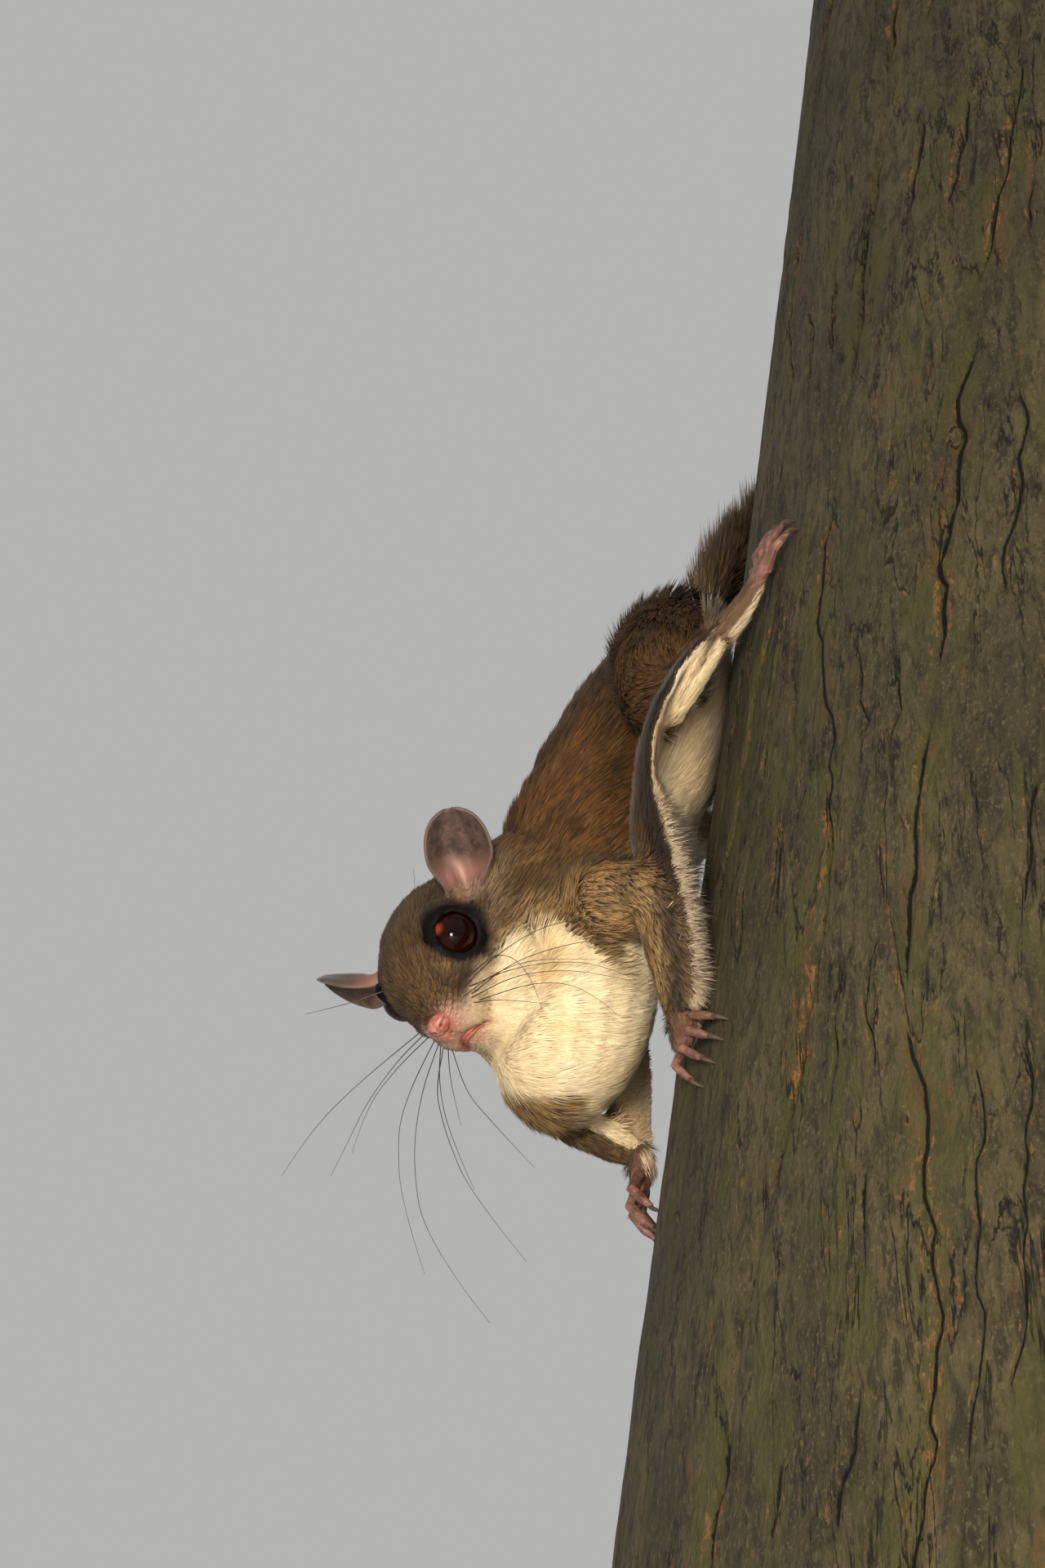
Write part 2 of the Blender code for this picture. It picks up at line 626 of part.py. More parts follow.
membranes = {
    "patagium_left": [
        (Vector((87.5, 25.0, 119.0)), at(2.8, 28.6, 119.5)),
        (Vector((91.0, 22.0, 134.0)), at(7.6, 31.5, 134.0)),
        (Vector((95.0, 12.0, 149.0)), at(12.6, 31.5, 149.0)),
        (Vector((95.5, 12.0, 163.0)), at(15.4, 30.2, 163.0)),
        (Vector((94.5, 10.0, 176.0)), at(14.6, 30.0, 176.0)),
        (Vector((91.0, 17.0, 186.0)), at(10.8, 31.0, 187.0)),
        (Vector((89.0, 26.0, 191.5)), at(7.0, 31.6, 193.0)),
    ],
    "patagium_right": [
        (Vector((93.0, -15.0, 114.0)), at(5.0, -19.0, 113.5)),
        (Vector((98.0, -15.0, 126.0)), at(8.0, -26.0, 126.0)),
        (Vector((95.0, -10.0, 146.0)), at(12.4, -28.5, 146.0)),
        (Vector((95.5, -12.0, 163.0)), at(15.2, -30.5, 163.0)),
        (Vector((94.0, -15.0, 178.0)), at(14.6, -34.5, 178.0)),
        (Vector((96.0, -22.0, 189.0)), at(11.0, -38.0, 189.5)),
        (at(6.5, -35.0, 194.5), at(6.0, -40.6, 196.5)),
    ],
}


def membrane(name, pairs, rows_each=2, columns=5):
    inner = [p[0] for p in pairs]
    outer = [p[1] for p in pairs]
    count = (len(pairs) - 1) * rows_each
    rows = []
    for i in range(count + 1):
        a = curve_value(inner, i / rows_each)
        b = curve_value(outer, i / rows_each)
        bulge = Vector((1.6, 0.0, 0.0))
        shares = [j / columns for j in range(columns + 1)]
        rows.append([a.lerp(b, share) + bulge * math.sin(math.pi * share) for share in shares])
    return sheet(name, rows, lambda s, t: 1.2 + 0.8 * t)


for name, pairs in membranes.items():
    node = membrane(name, pairs)
    cut(node, whole, keep=True)
    for foot_node in feet.values():
        cut(node, swell(foot_node, GAP))
    cut(node, clear_of_bark, keep=True)
    nodes[name] = largest(node)


# Ears: thin cupped shells, rolled at the root and open towards the front

def ear(name, root, tip, facing):
    axis = (tip - root).normalized()
    front = (facing - axis * facing.dot(axis)).normalized()
    wide = axis.cross(front)
    rows = []
    for i in range(9):
        v = i / 8
        rounding = math.sqrt(1 - max(0.0, v - 0.55) ** 2 / 0.215)
        half_width = EAR_WIDTH / 2 * min(1.0, 0.62 + 0.95 * v) * rounding
        curl = math.radians(105 - 62 * v)
        radius = half_width / math.sin(min(curl, math.pi / 2))
        row = []
        for j in range(7):
            u = -1 + j / 3
            place = wide * radius * math.sin(curl * u) + front * radius * (1 - math.cos(curl * u))
            row.append(in_head(*root) + HEAD_AXES @ (place + axis * (EAR_LENGTH * (v * 1.12 - 0.12))))
        rows.append(row)
    return sheet(name, rows, lambda s, t: 1.1 - 0.45 * s)


head_clearance = swell(nodes["head"], GAP, "head_clearance")
ears = {
    "ear_left": (Vector((-7.9, 12.1, 3.0)), Vector((-11.4, 22.0, 12.8)), Vector((0.75, 0.6, 0.1))),
    "ear_right": (Vector((-7.4, -12.0, 3.4)), Vector((-11.0, -24.8, 14.8)), Vector((0.6, -0.8, 0.05))),
}
for name, (root, tip, facing) in ears.items():
    node = ear(name, root, tip, facing)
    cut(node, head_clearance, keep=True)
    nodes[name] = largest(node)


# Eyes in their sockets, ringed by lids

for side, name in ((1, "eye_left"), (-1, "eye_right")):
    place = in_head(EYE_PLACE.x, side * EYE_PLACE.y, EYE_PLACE.z)
    gaze = (HEAD_AXES @ Vector((EYE_GAZE.x, side * EYE_GAZE.y, EYE_GAZE.z))).normalized()
    axes = gaze.to_track_quat("Z", "Y").to_matrix()
    bpy.ops.mesh.primitive_torus_add(major_radius=LID_RADIUS, minor_radius=0.85, major_segments=18,
                                     minor_segments=6)
    lids = bpy.context.object
    lids.data.transform(Matrix.Translation(place + gaze * 2.0) @ axes.to_4x4())
    for holder in list(lids.users_collection):
        holder.objects.unlink(lids)
    PARTS.objects.link(lids)
    ear_name = name.replace("eye", "ear")
    cut(nodes[ear_name], swell(lids, GAP))
    largest(nodes[ear_name])
    nodes["head"] = unite("head", [nodes["head"], lids])
    cut(nodes["head"], ball("socket", place, (EYE_RADIUS + GAP,) * 3, axes, 14, 8))
    nodes[name] = ball(name, place, (EYE_RADIUS,) * 3, axes, 14, 8)


# Nose pad with its nostrils, and the line of the mouth

nose = ball("nose", in_head(14.5, 0.0, -4.2), (1.5, 1.9, 1.5), HEAD_AXES, 10, 7)
cut(nodes["head"], swell(nose, GAP))
for side in (1, -1):
    cut(nose, ball("nostril", in_head(15.6, side * 1.0, -4.1), (0.6, 0.4, 0.35), HEAD_AXES, 8, 6))
nodes["nose"] = nose
mouth_line = []
for i in range(9):
    left = -3.8 + 0.95 * i
    mouth_line.append((in_head(13.2 - 0.25 * left ** 2, left, -10.2 - 0.14 * left ** 2), 0.35, 1.3))
cut(nodes["head"], loft("mouth_cut", mouth_line, up=head_z, sides=6, steps=1))
largest(nodes["head"])
drop(whole, head_clearance, clear_of_bark)
nodes["perch_log"] = perch


# Stand: a flat base and two rods cut to the slope of the log's lower face

base = box("stand_base", Vector((0, 0, BASE_SIZE.z / 2)), BASE_SIZE)
bake(base, "BEVEL", width=1.5, segments=2, limit_method="ANGLE")
lean = Matrix.Rotation(math.radians(LOG_LEAN_DEG), 3, "Y")
stand = {"stand_base": base}
for side, name in ((-1, "stand_rod_left"), (1, "stand_rod_right")):
    mesh = bpy.data.meshes.new(name)
    bm = bmesh.new()
    bmesh.ops.create_cone(bm, cap_ends=True, segments=24, radius1=ROD_RADIUS, radius2=ROD_RADIUS,
                          depth=140.0)
    bmesh.ops.translate(bm, vec=(side * ROD_OFFSET, 0, BASE_SIZE.z + GAP + 70.0), verts=bm.verts)
    bm.to_mesh(mesh)
    bm.free()
    rod = bpy.data.objects.new(name, mesh)
    PARTS.objects.link(rod)
    outward(rod)
    above = box("above", LOG_FOOT + lean @ Vector((0, 0, 60.0 - GAP)), (200, 60, 120), lean)
    stand[name] = cut(rod, above)


# Finish: millimetres to metres, the log's frame as an empty, and one material for each node

def paint(node, colour, roughness, metallic=0.0):
    material = bpy.data.materials.new(node.name + "_material")
    material.use_nodes = True
    shader = material.node_tree.nodes["Principled BSDF"]
    shader.inputs["Base Color"].default_value = (*colour, 1.0)
    shader.inputs["Roughness"].default_value = roughness
    shader.inputs["Metallic"].default_value = metallic
    node.data.materials.clear()
    node.data.materials.append(material)


FUR = (0.20, 0.14, 0.10)
CREAM = (0.72, 0.62, 0.48)
SKIN = (0.50, 0.30, 0.25)
colours = {
    "patagium": (CREAM, 0.8),
    "ear": (SKIN, 0.6),
    "nose": (SKIN, 0.45),
    "forefoot": (SKIN, 0.55),
    "hindfoot": (SKIN, 0.55),
    "eye": ((0.012, 0.005, 0.004), 0.08),
    "perch": ((0.13, 0.11, 0.075), 0.9),
    "stand": ((0.05, 0.05, 0.052), 0.5),
}
frame_empty = bpy.data.objects.new("bark_frame", None)
PARTS.objects.link(frame_empty)
frame_empty.location = LOG_FOOT * 0.001
frame_empty.rotation_euler = (0.0, math.radians(LOG_LEAN_DEG), 0.0)
half_turn = Matrix.Rotation(math.pi, 4, "Z")
for name, node in list(nodes.items()) + list(stand.items()):
    node.name = name
    clean(node)
    if name in stand:
        node.data.transform(Matrix.Scale(0.001, 4))
    else:
        node.data.transform(Matrix.Scale(0.001, 4) @ half_turn)
        node.parent = frame_empty
    key = name.split("_")[0]
    colour, roughness = colours.get(key, (FUR, 0.8))
    paint(node, colour, roughness)
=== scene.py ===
import itertools
import math

import bmesh
import bpy
import numpy as np
from mathutils import Matrix, Vector, noise
from mathutils.bvhtree import BVHTree


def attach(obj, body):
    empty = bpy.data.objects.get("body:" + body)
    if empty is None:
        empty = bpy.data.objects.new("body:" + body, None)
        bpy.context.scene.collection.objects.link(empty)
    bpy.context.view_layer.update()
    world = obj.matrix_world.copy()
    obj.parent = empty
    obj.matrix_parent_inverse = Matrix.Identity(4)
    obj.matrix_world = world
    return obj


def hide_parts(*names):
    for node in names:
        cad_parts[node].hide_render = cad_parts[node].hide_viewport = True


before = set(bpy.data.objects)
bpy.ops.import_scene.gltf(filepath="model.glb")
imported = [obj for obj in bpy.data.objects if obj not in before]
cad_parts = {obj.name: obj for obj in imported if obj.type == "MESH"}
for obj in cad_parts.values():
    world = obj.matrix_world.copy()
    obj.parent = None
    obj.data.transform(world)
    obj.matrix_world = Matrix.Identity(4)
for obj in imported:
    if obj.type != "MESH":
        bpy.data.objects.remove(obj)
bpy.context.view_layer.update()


# Camera
# Stands where the photographer did, low on the animal's left side, and looks up past its chin at 33 degrees.
LENS_MM, SENSOR_MM = 61.875, 36.0
CAMERA_PLACE = (-0.118, -0.41934, 0.02968)
CAMERA_PITCH_DEG = 33.0
viewfinder = bpy.data.cameras.new("camera")
viewfinder.lens = LENS_MM
viewfinder.sensor_width = SENSOR_MM
camera = bpy.data.objects.new("camera", viewfinder)
bpy.context.scene.collection.objects.link(camera)
camera.location = CAMERA_PLACE
camera.rotation_euler = (math.radians(90.0 + CAMERA_PITCH_DEG), 0.0, 0.0)
bpy.context.scene.camera = camera


# Hide
# One skin over the head, body, limbs, gliding membranes and the tail's core. It is cast over the solids,
# closed across their cuts, smoothed, and drawn in by the depth of the coat that grows from it.
LOG_FOOT = np.array([-0.025, 0.0, 0.112])
LOG_LEAN = math.radians(8.4)
LOG_AXES = np.array(Matrix.Rotation(LOG_LEAN, 3, "Y") @ Matrix.Rotation(math.pi, 3, "Z"))
LOG_RADIUS = 85.0
MM = 0.001
HEAD_PLACE = np.array([129.1, 4.7, 131.4])
HEAD_FORWARD = Vector((0.029, 0.441, -0.896)).normalized()
HEAD_UP = Vector((0.880, 0.395, 0.264))
HEAD_LEFT = HEAD_UP.cross(HEAD_FORWARD).normalized()
HEAD_AXES = np.array([HEAD_FORWARD, HEAD_LEFT, HEAD_FORWARD.cross(HEAD_LEFT)])
EYE_PLACE = np.array([1.2, 8.0, 0.8])
EYE_GAZE = np.array([0.5, 0.86, 0.06]) / np.linalg.norm([0.5, 0.86, 0.06])
EYE_RADIUS = 4.3
REGIONS = ["head", "neck", "chest", "abdomen", "foreleg_left", "foreleg_right", "hindleg_left",
           "hindleg_right", "patagium_left", "patagium_right", "tail"]
COAT_DEPTH = np.array([1.25, 1.8, 2.0, 2.0, 1.1, 1.1, 1.3, 1.3, 0.3, 0.3, 0.0])
HIDE_VOXEL = 0.0006
HIDE_SWELL = 0.00022
WELD = 1e-7


def at(height, side, along):
    """A point in millimetres by its height off the bark, distance to the left and place up the log."""
    return np.array([math.sqrt((LOG_RADIUS + height) ** 2 - side ** 2), side, along])


def to_row(points):
    """Millimetres in the log's frame become metres in the row frame."""
    return np.asarray(points) @ LOG_AXES.T * MM + LOG_FOOT


def to_log(points):
    return (np.asarray(points) - LOG_FOOT) @ LOG_AXES * 1000.0


def in_head(places):
    """Head millimetres, forward, left and up from the skull's middle, become log millimetres."""
    return HEAD_PLACE + np.asarray(places) @ HEAD_AXES


def to_head(points):
    return (points - HEAD_PLACE) @ HEAD_AXES.T


WRISTS = {
    "foreleg_left": np.array([84.6, 26.0, 116.0]),
    "foreleg_right": np.array([89.5, -16.0, 110.5]),
    "hindleg_left": np.array([87.6, 28.6, 192.0]),
    "hindleg_right": at(6.0, -38.0, 195.5),
}
TAIL_CORE = [3.4, 2.6, 2.1, 1.8, 1.6, 1.4, 1.2, 0.9, 0.4]
TAIL_LINE = [at(7.0, -9.5, 214.0), at(7.6, -13.0, 227.0), at(6.8, -19.0, 238.0), at(5.8, -27.0, 250.0),
             at(5.2, -36.0, 263.0), at(5.0, -45.0, 276.0), at(4.8, -52.5, 287.0), at(4.6, -58.5, 297.5),
             at(4.4, -61.0, 302.0)]


def add_object(name, mesh):
    obj = bpy.data.objects.new(name, mesh)
    bpy.context.scene.collection.objects.link(obj)
    return obj


def as_mesh(bm, name):
    """Turn a bmesh into a mesh of that name."""
    mesh = bpy.data.meshes.new(name)
    bm.to_mesh(mesh)
    bm.free()
    return mesh


def merged_copy(node):
    """A welded copy of a CAD node, whose own mesh is loose triangles."""
    bm = bmesh.new()
    bm.from_mesh(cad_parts[node].data)
    bmesh.ops.remove_doubles(bm, verts=bm.verts, dist=1e-6)
    bm.normal_update()
    return bm


def settled(obj):
    """Keep what an object's modifiers make of it as its own mesh."""
    mesh = bpy.data.meshes.new_from_object(obj.evaluated_get(bpy.context.evaluated_depsgraph_get()))
    obj.modifiers.clear()
    spent = obj.data
    obj.data = mesh
    bpy.data.meshes.remove(spent)
    return mesh


def face_outward(mesh, weld=None):
    """Turn every face of a closed mesh outward, after welding points closer than a distance."""
    bm = bmesh.new()
    bm.from_mesh(mesh)
    if weld:
        bmesh.ops.remove_doubles(bm, verts=bm.verts, dist=weld)
    bmesh.ops.recalc_face_normals(bm, faces=bm.faces)
    bm.to_mesh(mesh)
    bm.free()


def tubes(name, paths, sides=4, steps=5):
    """Round tapered strands along smooth paths of (point in log millimetres, radius in millimetres)."""
    curve = bpy.data.curves.new(name, "CURVE")
    curve.dimensions = "3D"
    curve.bevel_depth = MM
    curve.bevel_resolution = sides
    curve.use_fill_caps = True
    for path in paths:
        spline = curve.splines.new("NURBS")
        spline.points.add(len(path) - 1)
        for knot, (point, radius) in zip(spline.points, path):
            knot.co = (*to_row(point), 1.0)
            knot.radius = radius
        spline.order_u = 3
        spline.use_endpoint_u = True
        spline.resolution_u = steps
    strand = add_object(name, curve)
    bpy.context.view_layer.update()
    mesh = bpy.data.meshes.new_from_object(strand.evaluated_get(bpy.context.evaluated_depsgraph_get()))
    bpy.data.objects.remove(strand)
    bpy.data.curves.remove(curve)
    face_outward(mesh, WELD)
    mesh.name = name
    return mesh


def soften(values, edges, rounds, share, back=0.0):
    """Laplacian smoothing over a mesh's edges; a second share with the sign turned keeps the volume."""
    degree = np.bincount(edges.ravel(), minlength=len(values))[:, None]
    for step in range(rounds):
        total = np.zeros_like(values)
        for axis in range(values.shape[1]):
            total[:, axis] = np.bincount(edges[:, 0], values[edges[:, 1], axis], len(values))
            total[:, axis] += np.bincount(edges[:, 1], values[edges[:, 0], axis], len(values))
        pull = -back if back and step % 2 else share
        values = values + (total / degree - values) * pull
    return values


def mesh_points(mesh):
    points = np.empty(len(mesh.vertices) * 3)
    mesh.vertices.foreach_get("co", points)
    return points.reshape(-1, 3)


def mesh_edges(mesh):
    edges = np.empty(len(mesh.edges) * 2, dtype=np.int32)
    mesh.edges.foreach_get("vertices", edges)
    return edges.reshape(-1, 2)


def mesh_normals(mesh):
    normals = np.empty(len(mesh.vertices) * 3)
    mesh.vertex_normals.foreach_get("vector", normals)
    return normals.reshape(-1, 3)


def place_points(mesh, points):
    mesh.vertices.foreach_set("co", np.asarray(points, dtype=np.float32).ravel())
    mesh.update()


def main_shell(mesh):
    """Drop every closed surface but the largest."""
    bm = bmesh.new()
    bm.from_mesh(mesh)
    bm.verts.ensure_lookup_table()
    seen = np.zeros(len(bm.verts), dtype=bool)
    shells = []
    for start in bm.verts:
        if seen[start.index]:
            continue
        seen[start.index] = True
        shell = [start]
        for vert in shell:
            for edge in vert.link_edges:
                other = edge.other_vert(vert)
                if not seen[other.index]:
                    seen[other.index] = True
                    shell.append(other)
        shells.append(shell)
    shells.sort(key=len)
    for shell in shells[:-1]:
        bmesh.ops.delete(bm, geom=shell, context="VERTS")
    bm.to_mesh(mesh)
    bm.free()


def cast_over(name, sources, voxel):
    """A closed skin of even small faces over several overlapping closed meshes."""
    whole = bmesh.new()
    for source in sources:
        patch = bpy.data.meshes.new("patch")
        source.to_mesh(patch)
        whole.from_mesh(patch)
        source.free()
        bpy.data.meshes.remove(patch)
    obj = add_object(name, as_mesh(whole, name))
    remesh = obj.modifiers.new("cast", "REMESH")
    remesh.mode = "VOXEL"
    remesh.voxel_size = voxel
    remesh.adaptivity = 0.0
    main_shell(settled(obj))
    return obj


sources = []
corners, triangles, labels = [], [], []
for label, region in enumerate(REGIONS):
    if region == "tail":
        bm = bmesh.new()
        tail_path = list(zip([at(9.0, -8.0, 206.0)] + TAIL_LINE, [4.0] + TAIL_CORE))
        bm.from_mesh(tubes("tail_core", [tail_path], 3, 6))
        bmesh.ops.triangulate(bm, faces=bm.faces)
    else:
        bm = merged_copy(region)
    for vert in bm.verts:
        vert.co += vert.normal * HIDE_SWELL
    bm.verts.index_update()
    offset = len(corners)
    corners += [vert.co.copy() for vert in bm.verts]
    triangles += [tuple(offset + vert.index for vert in face.verts) for face in bm.faces]
    labels += [label] * len(bm.faces)
    sources.append(bm)
solids = BVHTree.FromPolygons(corners, triangles)
hide = cast_over("hide", sources, HIDE_VOXEL)
hide_edges = mesh_edges(hide.data)
hide_points = mesh_points(hide.data)
shares = np.zeros((len(hide_points), len(REGIONS)))
for i, point in enumerate(hide_points):
    shares[i, labels[solids.find_nearest(Vector(point))[2]]] = 1.0
shares = soften(shares, hide_edges, 12, 0.6)
fine = shares[:, :1]
rough = soften(hide_points, hide_edges, 6, 0.5, 0.52)
smoother = soften(rough, hide_edges, 44, 0.5, 0.512)
hide_points = to_log(rough * fine + smoother * (1.0 - fine))


def smooth(values, low, high):
    """0 below low and 1 above high, easing between them."""
    t = np.clip((values - low) / (high - low), 0.0, 1.0)
    return t * t * (3.0 - 2.0 * t)


def fading(values, low, high):
    """1 below low and 0 above high."""
    return 1.0 - smooth(values, low, high)


def from_segment(points, start, end):
    """Distance of each point from a straight line between two points."""
    along = np.asarray(end) - np.asarray(start)
    t = np.clip((points - start) @ along / (along @ along), 0.0, 1.0)
    return np.linalg.norm(points - (start + t[:, None] * along), axis=1)


def from_line(points, line):
    return np.min([from_segment(points, a, b) for a, b in zip(line, line[1:])], axis=0)


def apart(points, spot):
    """Distance of each point from one spot."""
    return np.linalg.norm(points - spot, axis=1)


def mouth_place(left):
    """Where the lips meet, forward, left and up in the head."""
    return np.array([13.5 - 0.25 * left ** 2, left, -9.5 - 0.15 * left ** 2])


MOUTH = [in_head(mouth_place(left)) for left in np.linspace(-3.8, 3.8, 9)]
NOSE_PLACE = np.array([14.5, 0.0, -4.2])
LIP_CLEFT = in_head((14.8, 0.0, -5.8)), in_head(mouth_place(0.0))
LOWER_LIP = [(in_head((11.8, 0.6, -11.7)), 2.3), (in_head((12.4, -3.0, -10.4)), 2.0)]
CHEEK_EDGE = [in_head(spot) for spot in ((10.6, -3.0, -14.4), (12.2, 4.0, -14.4), (12.0, 11.0, -13.4),
                                         (8.6, 14.6, -12.8), (4.0, 15.7, -11.6), (-1.5, 15.0, -8.0))]


def off_sight(places):
    """How far each place is off the nearer eye's line of sight."""
    measures = []
    for side in (1, -1):
        away = places - EYE_PLACE * (1, side, 1)
        height = away @ (EYE_GAZE * (1, side, 1))
        off = np.sqrt(np.maximum((away ** 2).sum(axis=1) - height ** 2, 0.0))
        measures.append(off + np.maximum(-2.0 - height, 0.0) * 3.0)
    return np.minimum(*measures)


EARS = {
    "ear_left": ((-7.9, 12.1, 3.0), (-11.4, 22.0, 12.8), (0.75, 0.6, 0.1)),
    "ear_right": ((-7.4, -12.0, 3.4), (-11.0, -24.8, 14.8), (0.6, -0.8, 0.05)),
}


def ear_axes(name):
    """An ear's root, the way it stands, the way it opens and the way across it, in the head's frame."""
    root, tip, facing = (Vector(spot) for spot in EARS[name])
    axis = (tip - root).normalized()
    front = (facing - axis * facing.dot(axis)).normalized()
    return root, axis, front, axis.cross(front)


def ear_hollow(places):
    """1 in the well of each ear, down to 0 at its edge."""
    near = np.zeros(len(places))
    for name in EARS:
        root, axis, front, wide = ear_axes(name)
        well = np.array(root + axis * 1.2 + front * 3.2)
        near = np.maximum(near, np.exp(-(apart(places, well) / 3.3) ** 2))
    return near


def coat_thinning(points, regions):
    """1 where the coat is full, down to 0 at the nose, lips, lids and wrists."""
    places = to_head(points)
    nose = apart(places, NOSE_PLACE)
    face = smooth(nose, 2.0, 15.0) * 0.9 + 0.1
    face *= smooth(from_line(points, MOUTH), 0.6, 5.0) * 0.9 + 0.1
    face *= smooth(off_sight(places), 4.6, 9.5) * 0.9 + 0.1
    face *= 1.0 - 0.85 * smooth(ear_hollow(places), 0.15, 0.6)
    full = 1.0 - regions[:, 0] * (1.0 - face)
    full *= 1.0 - 0.6 * np.exp(-(from_line(points, CHEEK_EDGE) / 3.0) ** 2)
    for limb, wrist in WRISTS.items():
        near = smooth(apart(points, wrist), 1.5, 12.0)
        full *= 1.0 - regions[:, REGIONS.index(limb)] * (1.0 - near) * 0.85
    return full


place_points(hide.data, to_row(hide_points))
hide_normals = mesh_normals(hide.data) @ LOG_AXES
hide_normals = soften(hide_normals, hide_edges, 6, 0.6)
hide_normals /= np.linalg.norm(hide_normals, axis=1)[:, None]
depth = (shares @ COAT_DEPTH) * coat_thinning(hide_points, shares)
hide_points = hide_points - hide_normals * depth[:, None]
groove = np.exp(-(from_line(hide_points, MOUTH) / 0.6) ** 2) * shares[:, 0] * 0.9
groove = np.maximum(groove, 0.6 * np.exp(-(from_segment(hide_points, *LIP_CLEFT) / 0.5) ** 2) * shares[:, 0])
groove = groove + 2.3 * smooth(ear_hollow(to_head(hide_points)), 0.1, 0.9)
groove = groove + 2.6 * np.exp(-(from_line(hide_points, CHEEK_EDGE) / 2.3) ** 2) * (1.0 - 0.8 * shares[:, 0])
hide_points = hide_points - hide_normals * groove[:, None]
for side in (1, -1):
    centre = in_head(EYE_PLACE * (1, side, 1))
    away = hide_points - centre
    distance = np.linalg.norm(away, axis=1)
    inside = (distance < EYE_RADIUS + 0.2)[:, None]
    hide_points = np.where(inside, centre + away / distance[:, None] * (EYE_RADIUS + 0.2), hide_points)
place_points(hide.data, to_row(hide_points))
hide.data.shade_smooth()


# Markings
# The coat is grey-brown with dark and pale-tipped hairs on the head and shoulders and rusty on the back. The
# throat, chest and belly are cream, the membranes buff below with a dark band above their pale edge.
LATTICE = 32


def drift(points, size, seed):
    """A smooth random value from -1 to 1 that changes over about one size."""
    table = np.random.default_rng(seed).random((LATTICE, LATTICE, LATTICE))
    scaled = np.asarray(points) / size
    base = np.floor(scaled).astype(int)
    share = scaled - base
    share = share * share * (3.0 - 2.0 * share)
    total = np.zeros(len(scaled))
    for corner in itertools.product((0, 1), repeat=3):
        i, j, k = ((base + corner) % LATTICE).T
        total += table[i, j, k] * np.prod(np.where(corner, share, 1.0 - share), axis=1)
    return total * 2.0 - 1.0


def blend(mask, first, second):
    """From the first colour to the second, by a mask for each point."""
    first, second = np.asarray(first), np.asarray(second)
    return first + (second - first) * np.clip(mask, 0.0, 1.0)[:, None]


def tint(mask, hair, along, at_tips):
    """Blend a hair's two colours, along it and at its tip, to two others by one mask."""
    return blend(mask, hair[0], along), blend(mask, hair[1], at_tips)


EDGES = {
    "patagium_left": [at(2.8, 28.6, 119.5), at(7.6, 31.5, 134.0), at(12.6, 31.5, 149.0),
                      at(15.4, 30.2, 163.0), at(14.6, 30.0, 176.0), at(10.8, 31.0, 187.0),
                      at(7.0, 31.6, 193.0)],
    "patagium_right": [at(5.0, -19.0, 113.5), at(8.0, -26.0, 126.0), at(12.4, -28.5, 146.0),
                       at(15.2, -30.5, 163.0), at(14.6, -34.5, 178.0), at(11.0, -38.0, 189.5),
                       at(6.0, -40.6, 196.5)],
}
FLANK = (114.0, 134.0, 149.0, 163.0, 176.0, 190.0), (8.0, 10.0, 11.5, 12.0, 11.0, 8.0)
EYE_STREAK = in_head([4.6, 9.0, -2.0]), in_head([10.6, 5.6, -4.4])
STAINS = [(107.6, 12.3, 118.3, 2.4), (110.0, 12.5, 128.0, 3.4), (112.0, 10.0, 116.0, 1.6)]


def facing_log(points, normals):
    """1 where the surface faces straight in to the log, -1 where it faces straight away."""
    outward = points * (1, 1, 0)
    outward = outward / np.linalg.norm(outward, axis=1)[:, None]
    return -(normals * outward).sum(axis=1)


def cream_mask(points, normals, regions):
    x, y, z = points.T
    facing = facing_log(points, normals)
    places = to_head(points)
    breast = smooth(126.0 + 0.48 * (x - 90.0) - z + 1.2 * drift(points, 4.0, 3), -1.6, 1.6)
    breast *= smooth(y - 5.5 + 1.2 * (z - 108.0), -1.4, 1.4)
    cheek = -5.0 - 0.33 * np.clip(7.0 - places[:, 0], 0.0, 14.0)
    breast *= smooth(cheek - places[:, 2], -1.6, 2.6)
    under_flank = np.interp(z, *FLANK) - np.hypot(x, y) + LOG_RADIUS
    inward = smooth(facing, 0.1, 0.45) * fading(np.hypot(x, y) - LOG_RADIUS, 19.0, 26.0)
    belly = np.maximum(inward, smooth(under_flank, -0.6, 1.6))
    thigh = belly * (1.0 - smooth(z, 192.0, 198.0) * fading(y, 22.0, 26.0))
    chin = smooth(cheek - places[:, 2] + 0.9 * drift(points, 3.0, 4), -1.8, 2.4)
    inner_arm = smooth(normals @ np.array([-0.36, 0.70, 0.62]), 0.35, 0.6)
    below = smooth(facing, -0.15, 0.25)
    by_region = [chin, breast, np.maximum(breast, belly), belly, smooth(facing, 0.25, 0.6), inner_arm,
                 thigh, thigh, below, below, 0.25 * belly]
    return (np.stack(by_region, axis=1) * regions).sum(axis=1)


